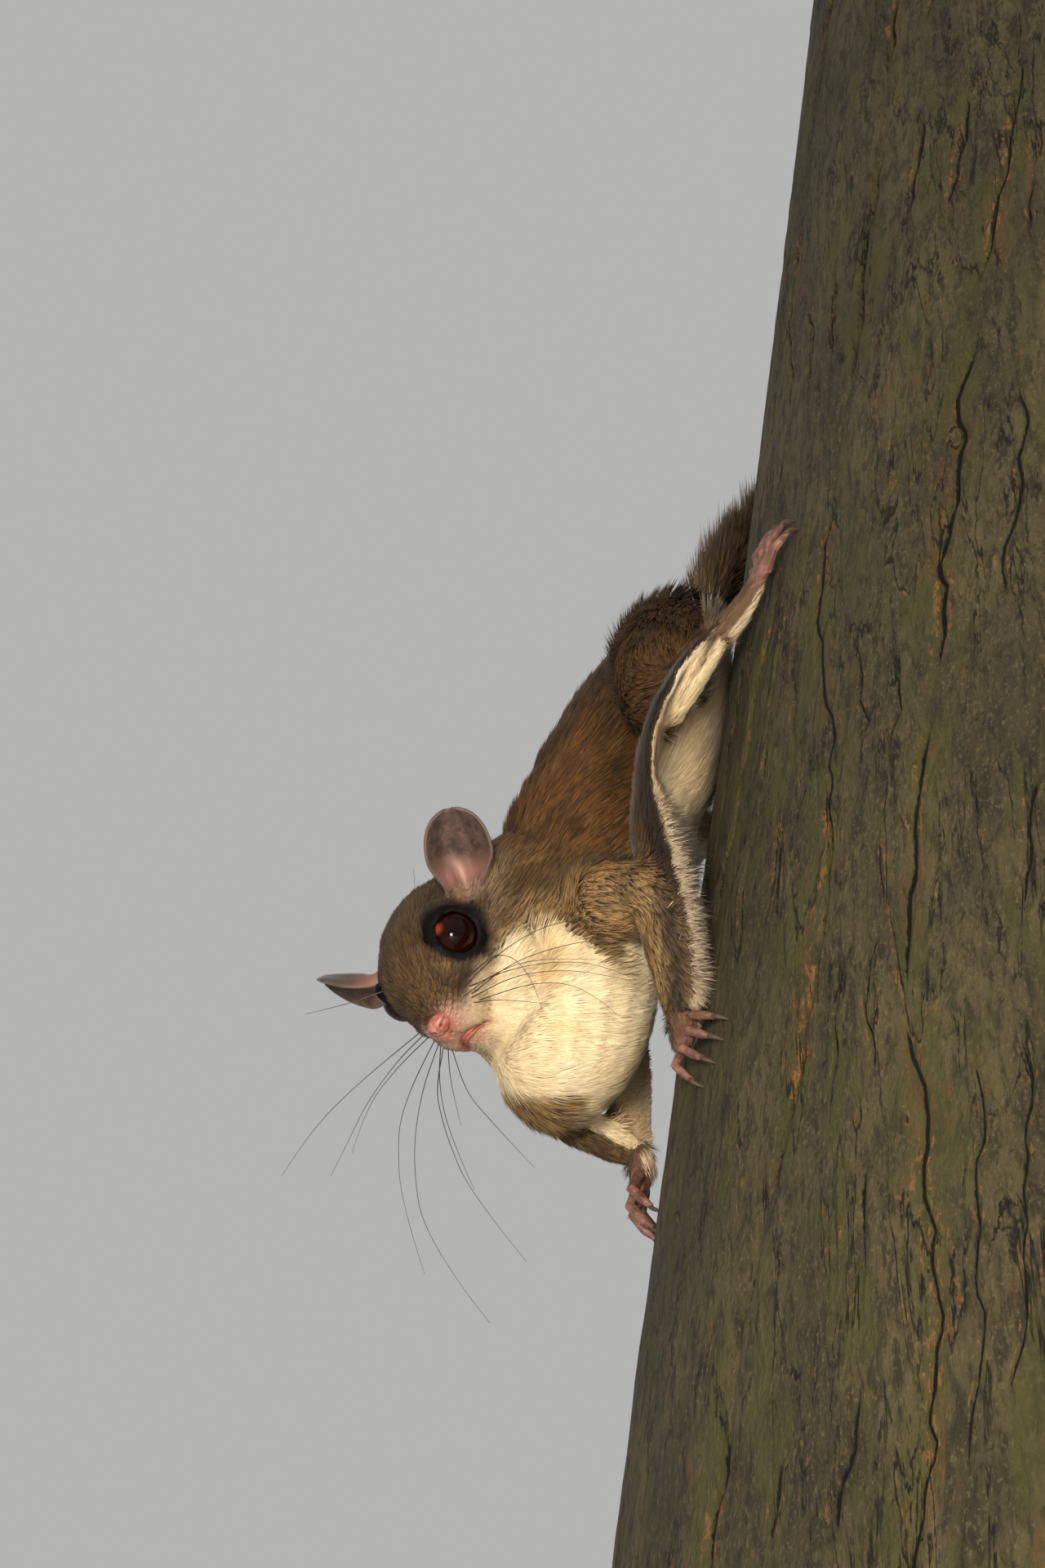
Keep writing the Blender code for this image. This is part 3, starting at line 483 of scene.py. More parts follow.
def markings(points, normals, regions):
    """The coat's colour along its length and at its tips, how brown it is, and how bare and pink."""
    z = points[:, 2]
    places = to_head(points)
    head = regions[:, 0]
    tail = regions[:, -1]
    membrane = regions[:, 8] + regions[:, 9]
    cream = cream_mask(points, normals, regions)
    rust = smooth(z + 5.0 * drift(points, 9.0, 5), 136.0, 158.0)
    rump = smooth(z + 6.0 * drift(points, 8.0, 16), 176.0, 204.0) * 0.7
    coat = blend(rust, (0.150, 0.088, 0.034), (0.090, 0.042, 0.012))
    tips = blend(rust, (0.47, 0.305, 0.135), (0.27, 0.125, 0.036))
    coat, tips = tint(rump, (coat, tips), (0.055, 0.030, 0.012), (0.145, 0.078, 0.030))
    coat = blend(0.6 * tail, coat, (0.13, 0.075, 0.030))
    # Darker hindlegs, the right foreleg darkened as painted shade, and the left foreleg a little lighter.
    thigh = 0.40 * (regions[:, 6] + regions[:, 7]) + 0.35 * regions[:, 5] - 0.15 * regions[:, 4]
    coat = coat * (1.0 - thigh)[:, None]
    tips = tips * (1.0 - thigh)[:, None]
    mottle = 0.5 + 0.5 * drift(points, 5.5, 6)
    flecks = smooth(drift(points * (1.0, 1.0, 0.6), 3.2, 17), 0.05, 0.45) * (1.0 - head)
    coat = coat * (0.74 + 0.5 * mottle - 0.34 * flecks)[:, None]
    tips = tips * (0.64 + 0.66 * mottle - 0.36 * flecks)[:, None]
    ticking = 0.5 + 0.5 * drift(points, 1.5, 18)
    # The crown is darker than the temple on the head's left side; part of the crown's darkness is painted
    # shade.
    temple = smooth(places[:, 1], 4.0, 12.0) * smooth(-places[:, 2], -5.0, 2.0)
    crown = blend(temple, (0.066, 0.036, 0.014), (0.150, 0.098, 0.052))
    crown_tips = blend(temple, (0.19, 0.110, 0.045), (0.42, 0.295, 0.165))
    coat, tips = tint(head * 0.9, (coat, tips), crown * (0.42 + 1.0 * ticking)[:, None],
                      crown_tips * (0.34 + 1.3 * ticking)[:, None])
    buff = blend(0.6 + 0.7 * drift(points, 8.0, 7), (0.56, 0.43, 0.27), (0.84, 0.58, 0.29))
    pale = blend(0.4 + 0.5 * drift(points, 7.0, 8), (0.90, 0.74, 0.48), (0.88, 0.67, 0.37))
    cheeks = blend(0.5 * ticking, (0.64, 0.49, 0.30), (0.44, 0.32, 0.19))
    cheeks = blend(1.0 - smooth(apart(places, NOSE_PLACE), 3.5, 8.5), cheeks,
                   (0.50, 0.32, 0.21))
    # Painted shade: the pale fur is darker towards the bottom of the chest; it is a little darker over the
    # belly too.
    pale = pale * (1.0 - 0.22 * fading(z, 104.0, 120.0) - 0.2 * regions[:, 3])[:, None]
    pale = blend(head, pale, cheeks)
    for px, py, pz, size in STAINS:
        spot = np.exp(-(apart(points, (px, py, pz)) / size) ** 2)
        pale = blend(0.5 * spot, pale, (0.72, 0.40, 0.12))
    pale = blend(np.maximum(membrane, 0.6 * regions[:, 3]), pale, buff)
    # Painted shadow: a dark line in the pale fur under the cheek's edge, where the head overhangs the chest.
    pale = pale * (1.0 - 0.5 * np.exp(-(from_line(points, CHEEK_EDGE) / 1.5) ** 2))[:, None]
    edge = np.full(len(points), 50.0)
    for name, line in EDGES.items():
        near = regions[:, REGIONS.index(name)] > 0.25
        edge = np.where(near, from_line(points, line), edge)
    band = fading(edge, 3.5, 7.5) * membrane
    outer_arm = fading(from_line(points, EDGES["patagium_left"]), 3.0, 6.5) * regions[:, 4]
    band = np.maximum(band, outer_arm)
    coat, tips = tint(band, (coat, tips), (0.027, 0.018, 0.011), (0.062, 0.042, 0.025))
    coat, tips = tint(cream, (coat, tips), pale * 0.86, pale * 1.16)
    fringe = fading(edge, 0.5, 1.3) * membrane * smooth(cream, 0.2, 0.7)
    ochre = smooth(z, 128.0, 144.0) * fading(z, 168.0, 180.0)
    coat, tips = tint(fringe, (coat, tips), blend(ochre, (0.66, 0.54, 0.38), (0.56, 0.34, 0.17)),
                      blend(ochre, (0.80, 0.70, 0.54), (0.80, 0.60, 0.38)))
    ring = fading(off_sight(places) + 0.5 * drift(points, 2.0, 9), 5.2, 7.2) * head
    ring = np.maximum(ring, 0.55 * fading(from_segment(points, *EYE_STREAK), 0.4, 1.6) * head)
    coat, tips = tint(ring, (coat, tips), (0.006, 0.0045, 0.004), (0.012, 0.009, 0.007))
    pink = fading(apart(places, NOSE_PLACE), 2.6, 5.4) * smooth(-places[:, 2], 1.5, 4.5)
    pink = np.maximum(pink, 0.8 - 0.8 * smooth(from_line(points, MOUTH), 0.7, 2.0))
    for middle, size in LOWER_LIP:
        pink = np.maximum(pink, 1.0 - smooth(apart(points, middle), 0.5 * size, size))
    pink = np.maximum(pink, smooth(ear_hollow(places), 0.25, 0.7)) * head
    brown = (1.0 - cream) * (1.0 - ring)
    return coat, tips, brown, pink


class Value:
    """A shader socket whose arithmetic adds Math nodes."""

    def __init__(self, finish, socket):
        self.finish = finish
        self.socket = socket

    def calc(self, operation, *operands):
        node = self.finish.node("ShaderNodeMath", {"operation": operation}, dict(enumerate(operands)))
        return Value(self.finish, node.outputs[0])

    def __add__(self, other):
        return self.calc("ADD", self, other)

    def __mul__(self, other):
        return self.calc("MULTIPLY", self, other)

    def __sub__(self, other):
        return self.calc("SUBTRACT", self, other)

    def __rsub__(self, other):
        return self.calc("SUBTRACT", other, self)

    def __abs__(self):
        return self.calc("ABSOLUTE", self)

    __radd__ = __add__
    __rmul__ = __mul__


class Finish:
    """A material; node() adds any shader node by its settings and its sockets' values or links."""

    def __init__(self, name, **sockets):
        self.material = bpy.data.materials.new(name)
        self.material.use_nodes = True
        self.tree = self.material.node_tree
        self.shader = self.tree.nodes["Principled BSDF"]
        for key, value in sockets.items():
            self.put(self.shader.inputs[key.replace("_", " ")], value)

    def put(self, socket, value):
        if isinstance(value, Value):
            self.tree.links.new(value.socket, socket)
        elif isinstance(value, tuple) and len(value) == 3 and socket.type == "RGBA":
            socket.default_value = (*value, 1.0)
        else:
            socket.default_value = value

    def node(self, kind, settings=None, sockets=None):
        node = self.tree.nodes.new(kind)
        for key, value in (settings or {}).items():
            setattr(node, key, value)
        for key, value in (sockets or {}).items():
            self.put(node.inputs[key], value)
        return node

    def place(self, stretch, turn):
        """The piece's own coordinates in millimetres, stretched for a grain."""
        spot = self.node("ShaderNodeTexCoord")
        sizes = tuple(1000.0 * s for s in stretch)
        mapped = self.node("ShaderNodeMapping", None, {"Vector": Value(self, spot.outputs["Object"]),
                                                        "Rotation": turn, "Scale": sizes})
        return Value(self, mapped.outputs["Vector"])

    def grain(self, scale, detail=3.0, roughness=0.55, warp=0.0, stretch=(1.0, 1.0, 1.0),
              turn=(0.0, 0.0, 0.0)):
        """Fractal noise over the piece, in features a millimetre, drawn out by a stretch below 1."""
        sockets = {"Vector": self.place(stretch, turn), "Scale": scale, "Detail": detail,
                   "Roughness": roughness, "Distortion": warp}
        return Value(self, self.node("ShaderNodeTexNoise", None, sockets).outputs["Fac"])

    def attribute(self, name, output="Color"):
        return Value(self, self.node("ShaderNodeAttribute", {"attribute_name": name}).outputs[output])

    def mix(self, share, first, second, way="MIX"):
        node = self.node("ShaderNodeMix", {"data_type": "RGBA", "blend_type": way})
        for key, value in ((0, share), (6, first), (7, second)):
            self.put(node.inputs[key], value)
        return Value(self, node.outputs[2])

    def layers(self, tone, *coats):
        """Lay further colours over a first one, each by its share."""
        for share, over in coats:
            tone = self.mix(share, tone, over)
        return tone

    def steps(self, value, low, high):
        """0 to 1 as the value goes from low to high."""
        node = self.node("ShaderNodeMapRange", {"interpolation_type": "SMOOTHSTEP"},
                         {"Value": value, "From Min": low, "From Max": high})
        return Value(self, node.outputs["Result"])

    def bump(self, height, strength, distance=0.0002):
        sockets = {"Height": height, "Strength": strength, "Distance": distance}
        relief = self.node("ShaderNodeBump", None, sockets)
        self.put(self.shader.inputs["Normal"], Value(self, relief.outputs["Normal"]))

    def colour(self, value):
        self.put(self.shader.inputs["Base Color"], value)

    def roughness(self, value):
        self.put(self.shader.inputs["Roughness"], value)

    def cover(self, mesh):
        mesh.shade_smooth()
        mesh.materials.append(self.material)


def carry(mesh, **layers):
    """Store one value for each of the mesh's points, for its shader to read."""
    for name, values in layers.items():
        layer = mesh.attributes.new(name, "FLOAT", "POINT")
        layer.data.foreach_set("value", np.asarray(values, dtype=np.float32))


def paint_points(mesh, name, colours):
    layer = mesh.color_attributes.new(name, "FLOAT_COLOR", "POINT")
    rgba = np.ones((len(colours), 4), dtype=np.float32)
    rgba[:, :3] = np.clip(colours, 0.0, 1.0)
    layer.data.foreach_set("color", rgba.ravel())


PINK_SKIN = np.array([0.40, 0.150, 0.105])
hide_normals = mesh_normals(hide.data) @ LOG_AXES
coat, tips, brown, pink = markings(hide_points, hide_normals, shares)
hide_colour = blend(pink * 0.85, coat * (0.50 + 0.42 * (1.0 - brown))[:, None], PINK_SKIN)
lid_ring = fading(off_sight(to_head(hide_points)), 4.9, 5.6) * shares[:, 0]
hide_colour = blend(lid_ring, hide_colour, (0.005, 0.004, 0.004))
# The mouth slit and the cleft under the nose are painted dark red: the inner lips' red, darkened as painted
# shade in the slit.
gap = np.minimum(from_line(hide_points, MOUTH), from_segment(hide_points, *LIP_CLEFT) + 0.25)
hide_colour = blend(shares[:, 0] * fading(gap, 0.3, 0.9), hide_colour, (0.150, 0.026, 0.015))
paint_points(hide.data, "hide_colour", hide_colour)
under_fur = Finish("hide", Roughness=0.62, Specular_IOR_Level=0.12)
speck = under_fur.grain(1.6, 4.0, 0.6)
fuzz = under_fur.grain(5.0, 3.0, 0.6, stretch=(1.0, 1.0, 0.35))
hide_tone = under_fur.attribute("hide_colour")
under_fur.colour(under_fur.mix(0.5 * speck, hide_tone, (0.30, 0.22, 0.17), "MULTIPLY"))
under_fur.roughness(0.5 + 0.3 * fuzz)
under_fur.bump(speck * 0.4 + fuzz * 0.6, 0.5, 0.00025)
hide.data.materials.append(under_fur.material)
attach(hide, "root")
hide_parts(*REGIONS)


# Feet
# Small bare hands and long hind soles, pink-brown with raised pads and cross folds, cast finer than the body
# and sunk into the furred wrists. Hooked horn claws hold on to the bark.
FOOT_VOXEL = 0.00024
WRIST_KNOB = 0.0021
FEET = {"forefoot_left": "foreleg_left", "forefoot_right": "foreleg_right", "hindfoot_left": "hindleg_left",
        "hindfoot_right": "hindleg_right"}
foot_skin = Finish("bare_foot_skin", Roughness=0.5, Specular_IOR_Level=0.45)
blotch = foot_skin.grain(0.55, 3.0)
folds = foot_skin.grain(2.2, 4.0, 0.6, 0.4, stretch=(0.5, 0.5, 2.4), turn=(0.2, 0.1, 0.0))
pores = foot_skin.grain(6.0, 2.0)
skin_tone = foot_skin.mix(foot_skin.steps(blotch, 0.35, 0.68), (0.105, 0.047, 0.032), (0.26, 0.118, 0.082))
foot_skin.colour(foot_skin.mix(0.6 * foot_skin.steps(folds, 0.42, 0.7), skin_tone, (0.075, 0.030, 0.021)))
foot_skin.roughness(0.38 + 0.3 * folds)
foot_skin.bump(folds * 0.8 + pores * 0.2, 0.55, 0.0002)
feet = {}
for name, limb in FEET.items():
    knob = bmesh.new()
    bmesh.ops.create_icosphere(knob, subdivisions=3, radius=WRIST_KNOB)
    bmesh.ops.translate(knob, vec=to_row(WRISTS[limb]), verts=knob.verts)
    foot = cast_over(name + "_skin", [merged_copy(name), knob], FOOT_VOXEL)
    foot_points = soften(mesh_points(foot.data), mesh_edges(foot.data), 14, 0.5, 0.52)
    place_points(foot.data, foot_points)
    foot_skin.cover(foot.data)
    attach(foot, "root")
    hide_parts(name)
    feet[name] = foot

TOES = [(at(3.8, 26.8, 106.8), at(1.3, 28.8, 103.4)), (at(3.9, 29.6, 108.6), at(1.3, 32.4, 105.8)),
        (at(3.9, 31.0, 111.2), at(1.3, 34.2, 109.0)), (at(3.6, 31.6, 113.9), at(1.3, 34.9, 112.3)),
        (at(5.4, -10.2, 101.0), at(1.3, -8.4, 97.4)), (at(5.8, -13.8, 99.4), at(1.3, -13.0, 95.6)),
        (at(5.8, -17.6, 99.4), at(1.3, -18.0, 95.6)), (at(5.2, -21.0, 101.4), at(1.3, -23.0, 98.2))]
for side, shift, lift in ((1, 0.0, 0.0), (-1, 9.6, 3.5)):
    for knuckle, tip in (((2.4, 29.6, 206.6), (28.4, 208.6)), ((2.8, 31.2, 209.0), (30.8, 212.4)),
                         ((2.8, 33.6, 209.8), (34.0, 213.6)), ((2.8, 36.0, 208.8), (37.2, 212.4)),
                         ((2.4, 37.6, 206.6), (39.2, 209.0))):
        TOES.append((at(knuckle[0], side * (knuckle[1] + shift), knuckle[2] + lift),
                     at(1.3, side * (tip[0] + shift), tip[1] + lift)))
hooks = []
for knuckle, tip in TOES:
    ahead = (tip - knuckle) / np.linalg.norm(tip - knuckle)
    inward = -np.array([tip[0], tip[1], 0.0]) / np.linalg.norm(tip[:2])
    hooks.append([(tip - ahead * 0.7 - inward * 0.3, 0.30), (tip + ahead * 0.2 - inward * 0.45, 0.46),
                  (tip + ahead * 1.0 - inward * 0.1, 0.37), (tip + ahead * 1.5 + inward * 0.7, 0.20),
                  (tip + ahead * 1.6 + inward * 1.4, 0.05)])
claws = add_object("claws", tubes("claws", hooks, 3, 5))
horn = Finish("claw_horn", Roughness=0.45, Specular_IOR_Level=0.25)
layers = horn.grain(2.5, 3.0)
horn.colour(horn.mix(layers, (0.028, 0.018, 0.012), (0.095, 0.062, 0.040)))
horn.roughness(0.4 + 0.25 * layers)
horn.bump(layers, 0.2, 0.0001)
horn.cover(claws.data)
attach(claws, "root")


# Eyes
# Large, dark, wet eyes of a night animal: a globe with a bulging front over a wide pupil and a maroon iris,
# with a painted dull red eyeshine at one edge. A lid of black bare skin laps on to each globe.
wet_globe = Finish("eye_globe", Roughness=0.04, Specular_IOR_Level=0.16)
depth_of_eye = wet_globe.attribute("iris", "Fac")
flecks = wet_globe.grain(3.0, 4.0)
iris_tone = wet_globe.mix(flecks, (0.0075, 0.0012, 0.0013), (0.0150, 0.0026, 0.0024))
globe_tone = wet_globe.mix(wet_globe.steps(depth_of_eye, 0.40, 0.66), (0.0060, 0.0012, 0.0013), iris_tone)
# Painted reflection: a dull red eyeshine is coloured into one edge of the globe, where the flash would shine
# back.
glow = wet_globe.attribute("glow", "Fac")
rim_of_eye = wet_globe.steps(depth_of_eye, 0.80, 0.93)
wet_globe.colour(wet_globe.layers(globe_tone, (rim_of_eye, (0.003, 0.002, 0.002)),
                                  (glow, (0.30, 0.045, 0.010))))
wet_globe.roughness(0.03 + 0.04 * flecks)
wet_globe.bump(flecks, 0.02, 0.00005)
# Which way the painted eyeshine lies from the eye's middle, in the head's frame.
PAINTED_EYESHINE_AIM = np.array([0.52, 0.30, 0.80])
LID_PROFILE = [(3.72, 2.45), (4.02, 2.78), (4.55, 2.80), (5.15, 2.25), (5.6, 1.45), (5.5, 0.6), (4.7, 0.7),
               (4.32, 1.6)]
lid_skin = Finish("eye_lid", Roughness=0.6, Specular_IOR_Level=0.04)
crease = lid_skin.grain(1.8, 5.0, 0.65, 0.5)
lid_skin.colour(lid_skin.mix(crease, (0.0020, 0.0016, 0.0015), (0.0070, 0.0052, 0.0046)))
lid_skin.roughness(0.5 + 0.3 * crease)
lid_skin.bump(crease, 0.5, 0.0002)
for side, name in ((1, "eye_left"), (-1, "eye_right")):
    centre = in_head(EYE_PLACE * (1, side, 1))
    gaze = Vector(LOG_AXES @ (EYE_GAZE * (1, side, 1) @ HEAD_AXES))
    aim = Matrix.Translation(to_row(centre)) @ gaze.to_track_quat("Z", "Y").to_matrix().to_4x4()
    bm = bmesh.new()
    bmesh.ops.create_uvsphere(bm, u_segments=56, v_segments=40, radius=EYE_RADIUS * MM)
    height = []
    for vert in bm.verts:
        front = max(0.0, vert.co.z / (EYE_RADIUS * MM) - 0.55) / 0.45
        vert.co *= 1.0 + 0.045 * front * front * (3.0 - 2.0 * front)
        height.append(vert.co.copy().normalized())
    bmesh.ops.transform(bm, matrix=aim, verts=bm.verts)
    mesh = as_mesh(bm, name + "_globe")
    globe = add_object(name + "_globe", mesh)
    glow_way = Vector(LOG_AXES @ (PAINTED_EYESHINE_AIM * (1, side, 1) @ HEAD_AXES))
    glow_spot = (aim.to_3x3().inverted() @ glow_way).normalized()
    off_glow = np.array([(p - glow_spot).length for p in height])
    carry(mesh, iris=[math.hypot(p.x, p.y) if p.z > 0 else 1.0 for p in height],
          glow=0.75 * smooth(off_glow, 0.34, 0.06))
    wet_globe.cover(mesh)
    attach(globe, "root")
    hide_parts(name)

    bm = bmesh.new()
    ring = [bm.verts.new((x * MM, 0.0, z * MM)) for x, z in LID_PROFILE]
    loop = [bm.edges.new((a, b)) for a, b in zip(ring, ring[1:] + ring[:1])]
    bmesh.ops.spin(bm, geom=loop + ring, cent=(0, 0, 0), axis=(0, 0, 1), angle=math.tau, steps=72,
                   use_merge=True)
    bmesh.ops.remove_doubles(bm, verts=bm.verts, dist=WELD)
    bmesh.ops.recalc_face_normals(bm, faces=bm.faces)
    for vert in bm.verts:
        turn = math.atan2(vert.co.y, vert.co.x)
        ripple = 1.0 + 0.018 * math.sin(7 * turn + 1.0) + 0.012 * math.sin(13 * turn)
        vert.co = Vector((vert.co.x * 1.05 * ripple, vert.co.y * 0.97 * ripple, vert.co.z))
    bmesh.ops.transform(bm, matrix=aim, verts=bm.verts)
    lids = add_object(name + "_lids", as_mesh(bm, name + "_lids"))
    rounding = lids.modifiers.new("rounding", "SUBSURF")
    rounding.levels = rounding.render_levels = 1
    lid_skin.cover(lids.data)
    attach(lids, "root")


# Nose and lips
# The bare pink nose pad, with comma-shaped nostrils and a groove below, and the soft rolls of the two lips.
# Both are moist skin over the muzzle's tip, set into the hide there.
nose_skin = Finish("nose_skin", Roughness=0.34, Specular_IOR_Level=0.5, Coat_Weight=0.25, Coat_Roughness=0.3)
pebble = nose_skin.grain(3.2, 3.0)
flush = nose_skin.grain(0.8, 2.0)
nose_tone = nose_skin.mix(nose_skin.steps(flush, 0.35, 0.65), (0.29, 0.080, 0.058), (0.46, 0.185, 0.135))
# Painted shade: the nostrils and the groove below the nose are coloured dark, as deeper holes would be in
# shadow.
nose_skin.colour(nose_skin.mix(nose_skin.attribute("nostril", "Fac"), nose_tone, (0.09, 0.018, 0.014)))
nose_skin.roughness(0.26 + 0.25 * pebble)
nose_skin.bump(pebble, 0.35, 0.00012)
bm = bmesh.new()
bmesh.ops.create_icosphere(bm, subdivisions=5, radius=1.0)
# How much painted shade each point of the nose pad gets, in its nostrils and the groove below.
hollow = []
for vert in bm.verts:
    x, y, z = vert.co
    depth_here = 0.0
    for side in (1, -1):
        spot = ((y - side * (0.56 + 0.10 * (z + 0.1))) / 0.20) ** 2
        spot += ((z + 0.18 - 0.28 * abs(y)) / 0.16) ** 2
        comma = ((y - side * 0.84) / 0.16) ** 2 + ((z - 0.06) / 0.09) ** 2
        depth_here = max(depth_here, math.exp(-spot), 0.7 * math.exp(-comma)) if x > 0 else 0.0
    cleft = math.exp(-(y / 0.10) ** 2) * max(0.0, -z) * (1.0 if x > 0 else 0.0)
    scale = 1.0 - 0.34 * depth_here - 0.16 * cleft + 0.05 * math.exp(-((z - 0.4) / 0.3) ** 2)
    hollow.append(min(1.0, depth_here * 1.25 + 0.5 * cleft))
    place = NOSE_PLACE + np.array([x * 1.75, y * 2.25, z * 1.75]) * scale + np.array([-0.15, 0.0, 0.1])
    vert.co = Vector(to_row(in_head(place)))
bmesh.ops.recalc_face_normals(bm, faces=bm.faces)
nose_pad = add_object("nose_pad", as_mesh(bm, "nose_pad"))
carry(nose_pad.data, nostril=hollow)
nose_skin.cover(nose_pad.data)
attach(nose_pad, "root")
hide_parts("nose")

lip_skin = Finish("lip_skin", Roughness=0.38, Specular_IOR_Level=0.45, Coat_Weight=0.15, Coat_Roughness=0.3)
wrinkle = lip_skin.grain(2.4, 4.0, 0.6, 0.3, stretch=(1.6, 1.6, 0.6))
lip_skin.colour(lip_skin.mix(wrinkle, (0.22, 0.036, 0.024), (0.40, 0.130, 0.095)))
lip_skin.roughness(0.3 + 0.3 * wrinkle)
lip_skin.bump(wrinkle, 0.5, 0.00015)
rolls = []
for level, reach, radius in ((0.24, 0.55, 0.34), (-0.30, 0.40, 0.31)):
    roll = []
    for left in np.linspace(-2.7, 2.7, 9):
        taper = 1.0 - 0.62 * (abs(left) / 2.7) ** 2
        roll.append((in_head(mouth_place(left) + (-reach, 0.0, level)), radius * taper))
    rolls.append(roll)
lips = add_object("lips", tubes("lips", rolls, 5, 6))
lip_skin.cover(lips.data)
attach(lips, "root")


# Ears
# Thin rounded leaves of almost bare skin, cupped forward, with a pink base, low ridges of gristle inside and
# a paler rolled rim. Each is one sheet given its thickness and set into the fur behind the eye.
EAR_LENGTH, EAR_WIDTH, EAR_SINK = 14.6, 12.0, 1.6
EAR_WALL = 0.00062
ear_skin = Finish("ear_skin", Roughness=0.5, Specular_IOR_Level=0.35, Sheen_Weight=0.1)
ear_blotch = ear_skin.grain(0.45, 3.0)
veins = ear_skin.grain(1.1, 5.0, 0.62, 0.8, stretch=(1.0, 1.0, 0.4))
ear_tone = ear_skin.mix(ear_skin.steps(ear_blotch, 0.3, 0.7), (0.024, 0.0135, 0.0095), (0.060, 0.035, 0.025))
ear_skin.colour(ear_skin.layers(ear_tone, (ear_skin.attribute("blush", "Fac"), (0.25, 0.110, 0.080)),
                                (ear_skin.attribute("ridge", "Fac"), (0.42, 0.24, 0.180)),
                                (0.35 * ear_skin.steps(veins, 0.52, 0.62), (0.16, 0.065, 0.05)),
                                (ear_skin.attribute("rim", "Fac"), (0.105, 0.068, 0.052))))
ear_skin.roughness(0.42 + 0.25 * veins)
ear_skin.bump(veins * 0.7 + ear_blotch * 0.3, 0.35, 0.0002)


def ease(value, low, high):
    """smooth() for one plain number."""
    return float(smooth(np.array(value), low, high))


for name in EARS:
    root, axis, front, wide = ear_axes(name)
    bm = bmesh.new()
    bmesh.ops.create_grid(bm, x_segments=24, y_segments=30, size=0.5)
    blush, rim, ridge = [], [], []
    for vert in bm.verts:
        u = vert.co.x * 2.0
        v = vert.co.y + 0.5
        rounding = math.sqrt(1.0 - 0.96 * (max(0.0, v - 0.5) / 0.5) ** 2.7)
        half_width = EAR_WIDTH / 2 * (0.54 + 0.46 * ease(v, 0.08, 0.54)) * rounding
        curl = math.radians(92.0 - 50.0 * v)
        radius = half_width / math.sin(min(curl, math.pi / 2))
        lip = 0.55 * ease(abs(u), 0.82, 1.0) + 0.45 * ease(v, 0.90, 1.0)
        fade = 1.0 - ease(v, 0.26, 0.52)
        crest = math.exp(-((u - 0.26 + 0.75 * v) / 0.17) ** 2) * fade
        gristle = 1.5 * crest + 0.7 * math.exp(-((u + 0.42 - 0.3 * v) / 0.14) ** 2) * fade
        gristle -= 0.9 * math.exp(-((u - 0.62) / 0.16) ** 2) * (1.0 - ease(v, 0.16, 0.36))
        ripple = 0.16 * math.sin(9.0 * u + 2.0) * ease(v, 0.15, 0.5)
        inward = front * math.cos(curl * u) - wide * math.sin(curl * u)
        place = wide * radius * math.sin(curl * u) + front * radius * (1.0 - math.cos(curl * u))
        place += inward * (gristle + ripple + lip * 0.5)
        place += root + axis * (EAR_LENGTH * (v * 1.12 - 0.12))
        place -= front * EAR_SINK * (1.0 - ease(v, 0.0, 0.24))
        vert.co = Vector(to_row(in_head(place)))
        blush.append((1.0 - ease(v, 0.16, 0.56)) * 0.85)
        ridge.append(0.85 * crest)
        rim.append(0.7 * ease(max(abs(u), (v - 0.5) * 2.0), 0.88, 1.0))
    mesh = as_mesh(bm, name + "_leaf")
    carry(mesh, blush=blush, rim=rim, ridge=ridge)
    leaf = add_object(name + "_leaf", mesh)
    wall = leaf.modifiers.new("wall", "SOLIDIFY")
    wall.thickness = EAR_WALL
    wall.offset = 0.0
    rounded = leaf.modifiers.new("rounded", "SUBSURF")
    rounded.levels = rounded.render_levels = 1
    bpy.context.view_layer.update()
    face_outward(settled(leaf))
    ear_skin.cover(leaf.data)
    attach(leaf, "root")
    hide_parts(name)


# Coat
# Dense soft fur in fine overlapping tufts, rooted in the hide and lying back from the nose, round the body,
# down the limbs and out over the membranes. From the near membrane long pale fur hangs down to the bark.
COAT = {
    "length": np.array([3.1, 5.2, 5.0, 7.0, 3.9, 3.9, 4.6, 4.6, 3.4, 3.4, 6.0]),
    "width": np.array([0.18, 0.23, 0.24, 0.28, 0.21, 0.21, 0.24, 0.24, 0.22, 0.22, 0.26]),
    "lift": np.radians([14.0, 16.0, 13.0, 14.0, 11.0, 11.0, 11.0, 11.0, 11.0, 11.0, 14.0]),
    "crowd": np.array([19.0, 12.0, 11.5, 8.8, 12.5, 12.5, 9.6, 9.6, 6.0, 5.0, 0.0]),
}
PATCH_HALF = 0.0015
LIMB_LINES = {
    "foreleg_left": [(104, 9, 150), (99, 17, 141.5), (92, 25, 138), (88.4, 27, 127), (84.6, 26, 116),
                     (83, 26, 108)],
    "foreleg_right": [(107, -8, 145), (108, -15, 131), (107, -20, 121.5), (98, -18.5, 114.5),
                      (89.5, -16, 110.5), (84, -15, 107)],
    "hindleg_left": [(97, 2, 214), (97.5, 12, 198), (97, 19.5, 183), (92.5, 25, 184), (87.6, 28.6, 192),
                     (84.5, 31, 199)],
    "hindleg_right": [at(8.8, -12.0, 214.0), at(11.0, -22.5, 200.0), at(12.5, -29.5, 186.0),
                      at(9.5, -34.5, 187.5), at(6.0, -38.0, 195.5), at(3.5, -40.0, 202.0)],
}


def unit(vectors):
    return vectors / np.maximum(np.linalg.norm(vectors, axis=-1, keepdims=True), 1e-9)


def laid(vectors, normals):
    """Unit vectors turned into the plane that each normal stands on."""
    return unit(vectors - normals * (vectors * normals).sum(axis=1)[:, None])


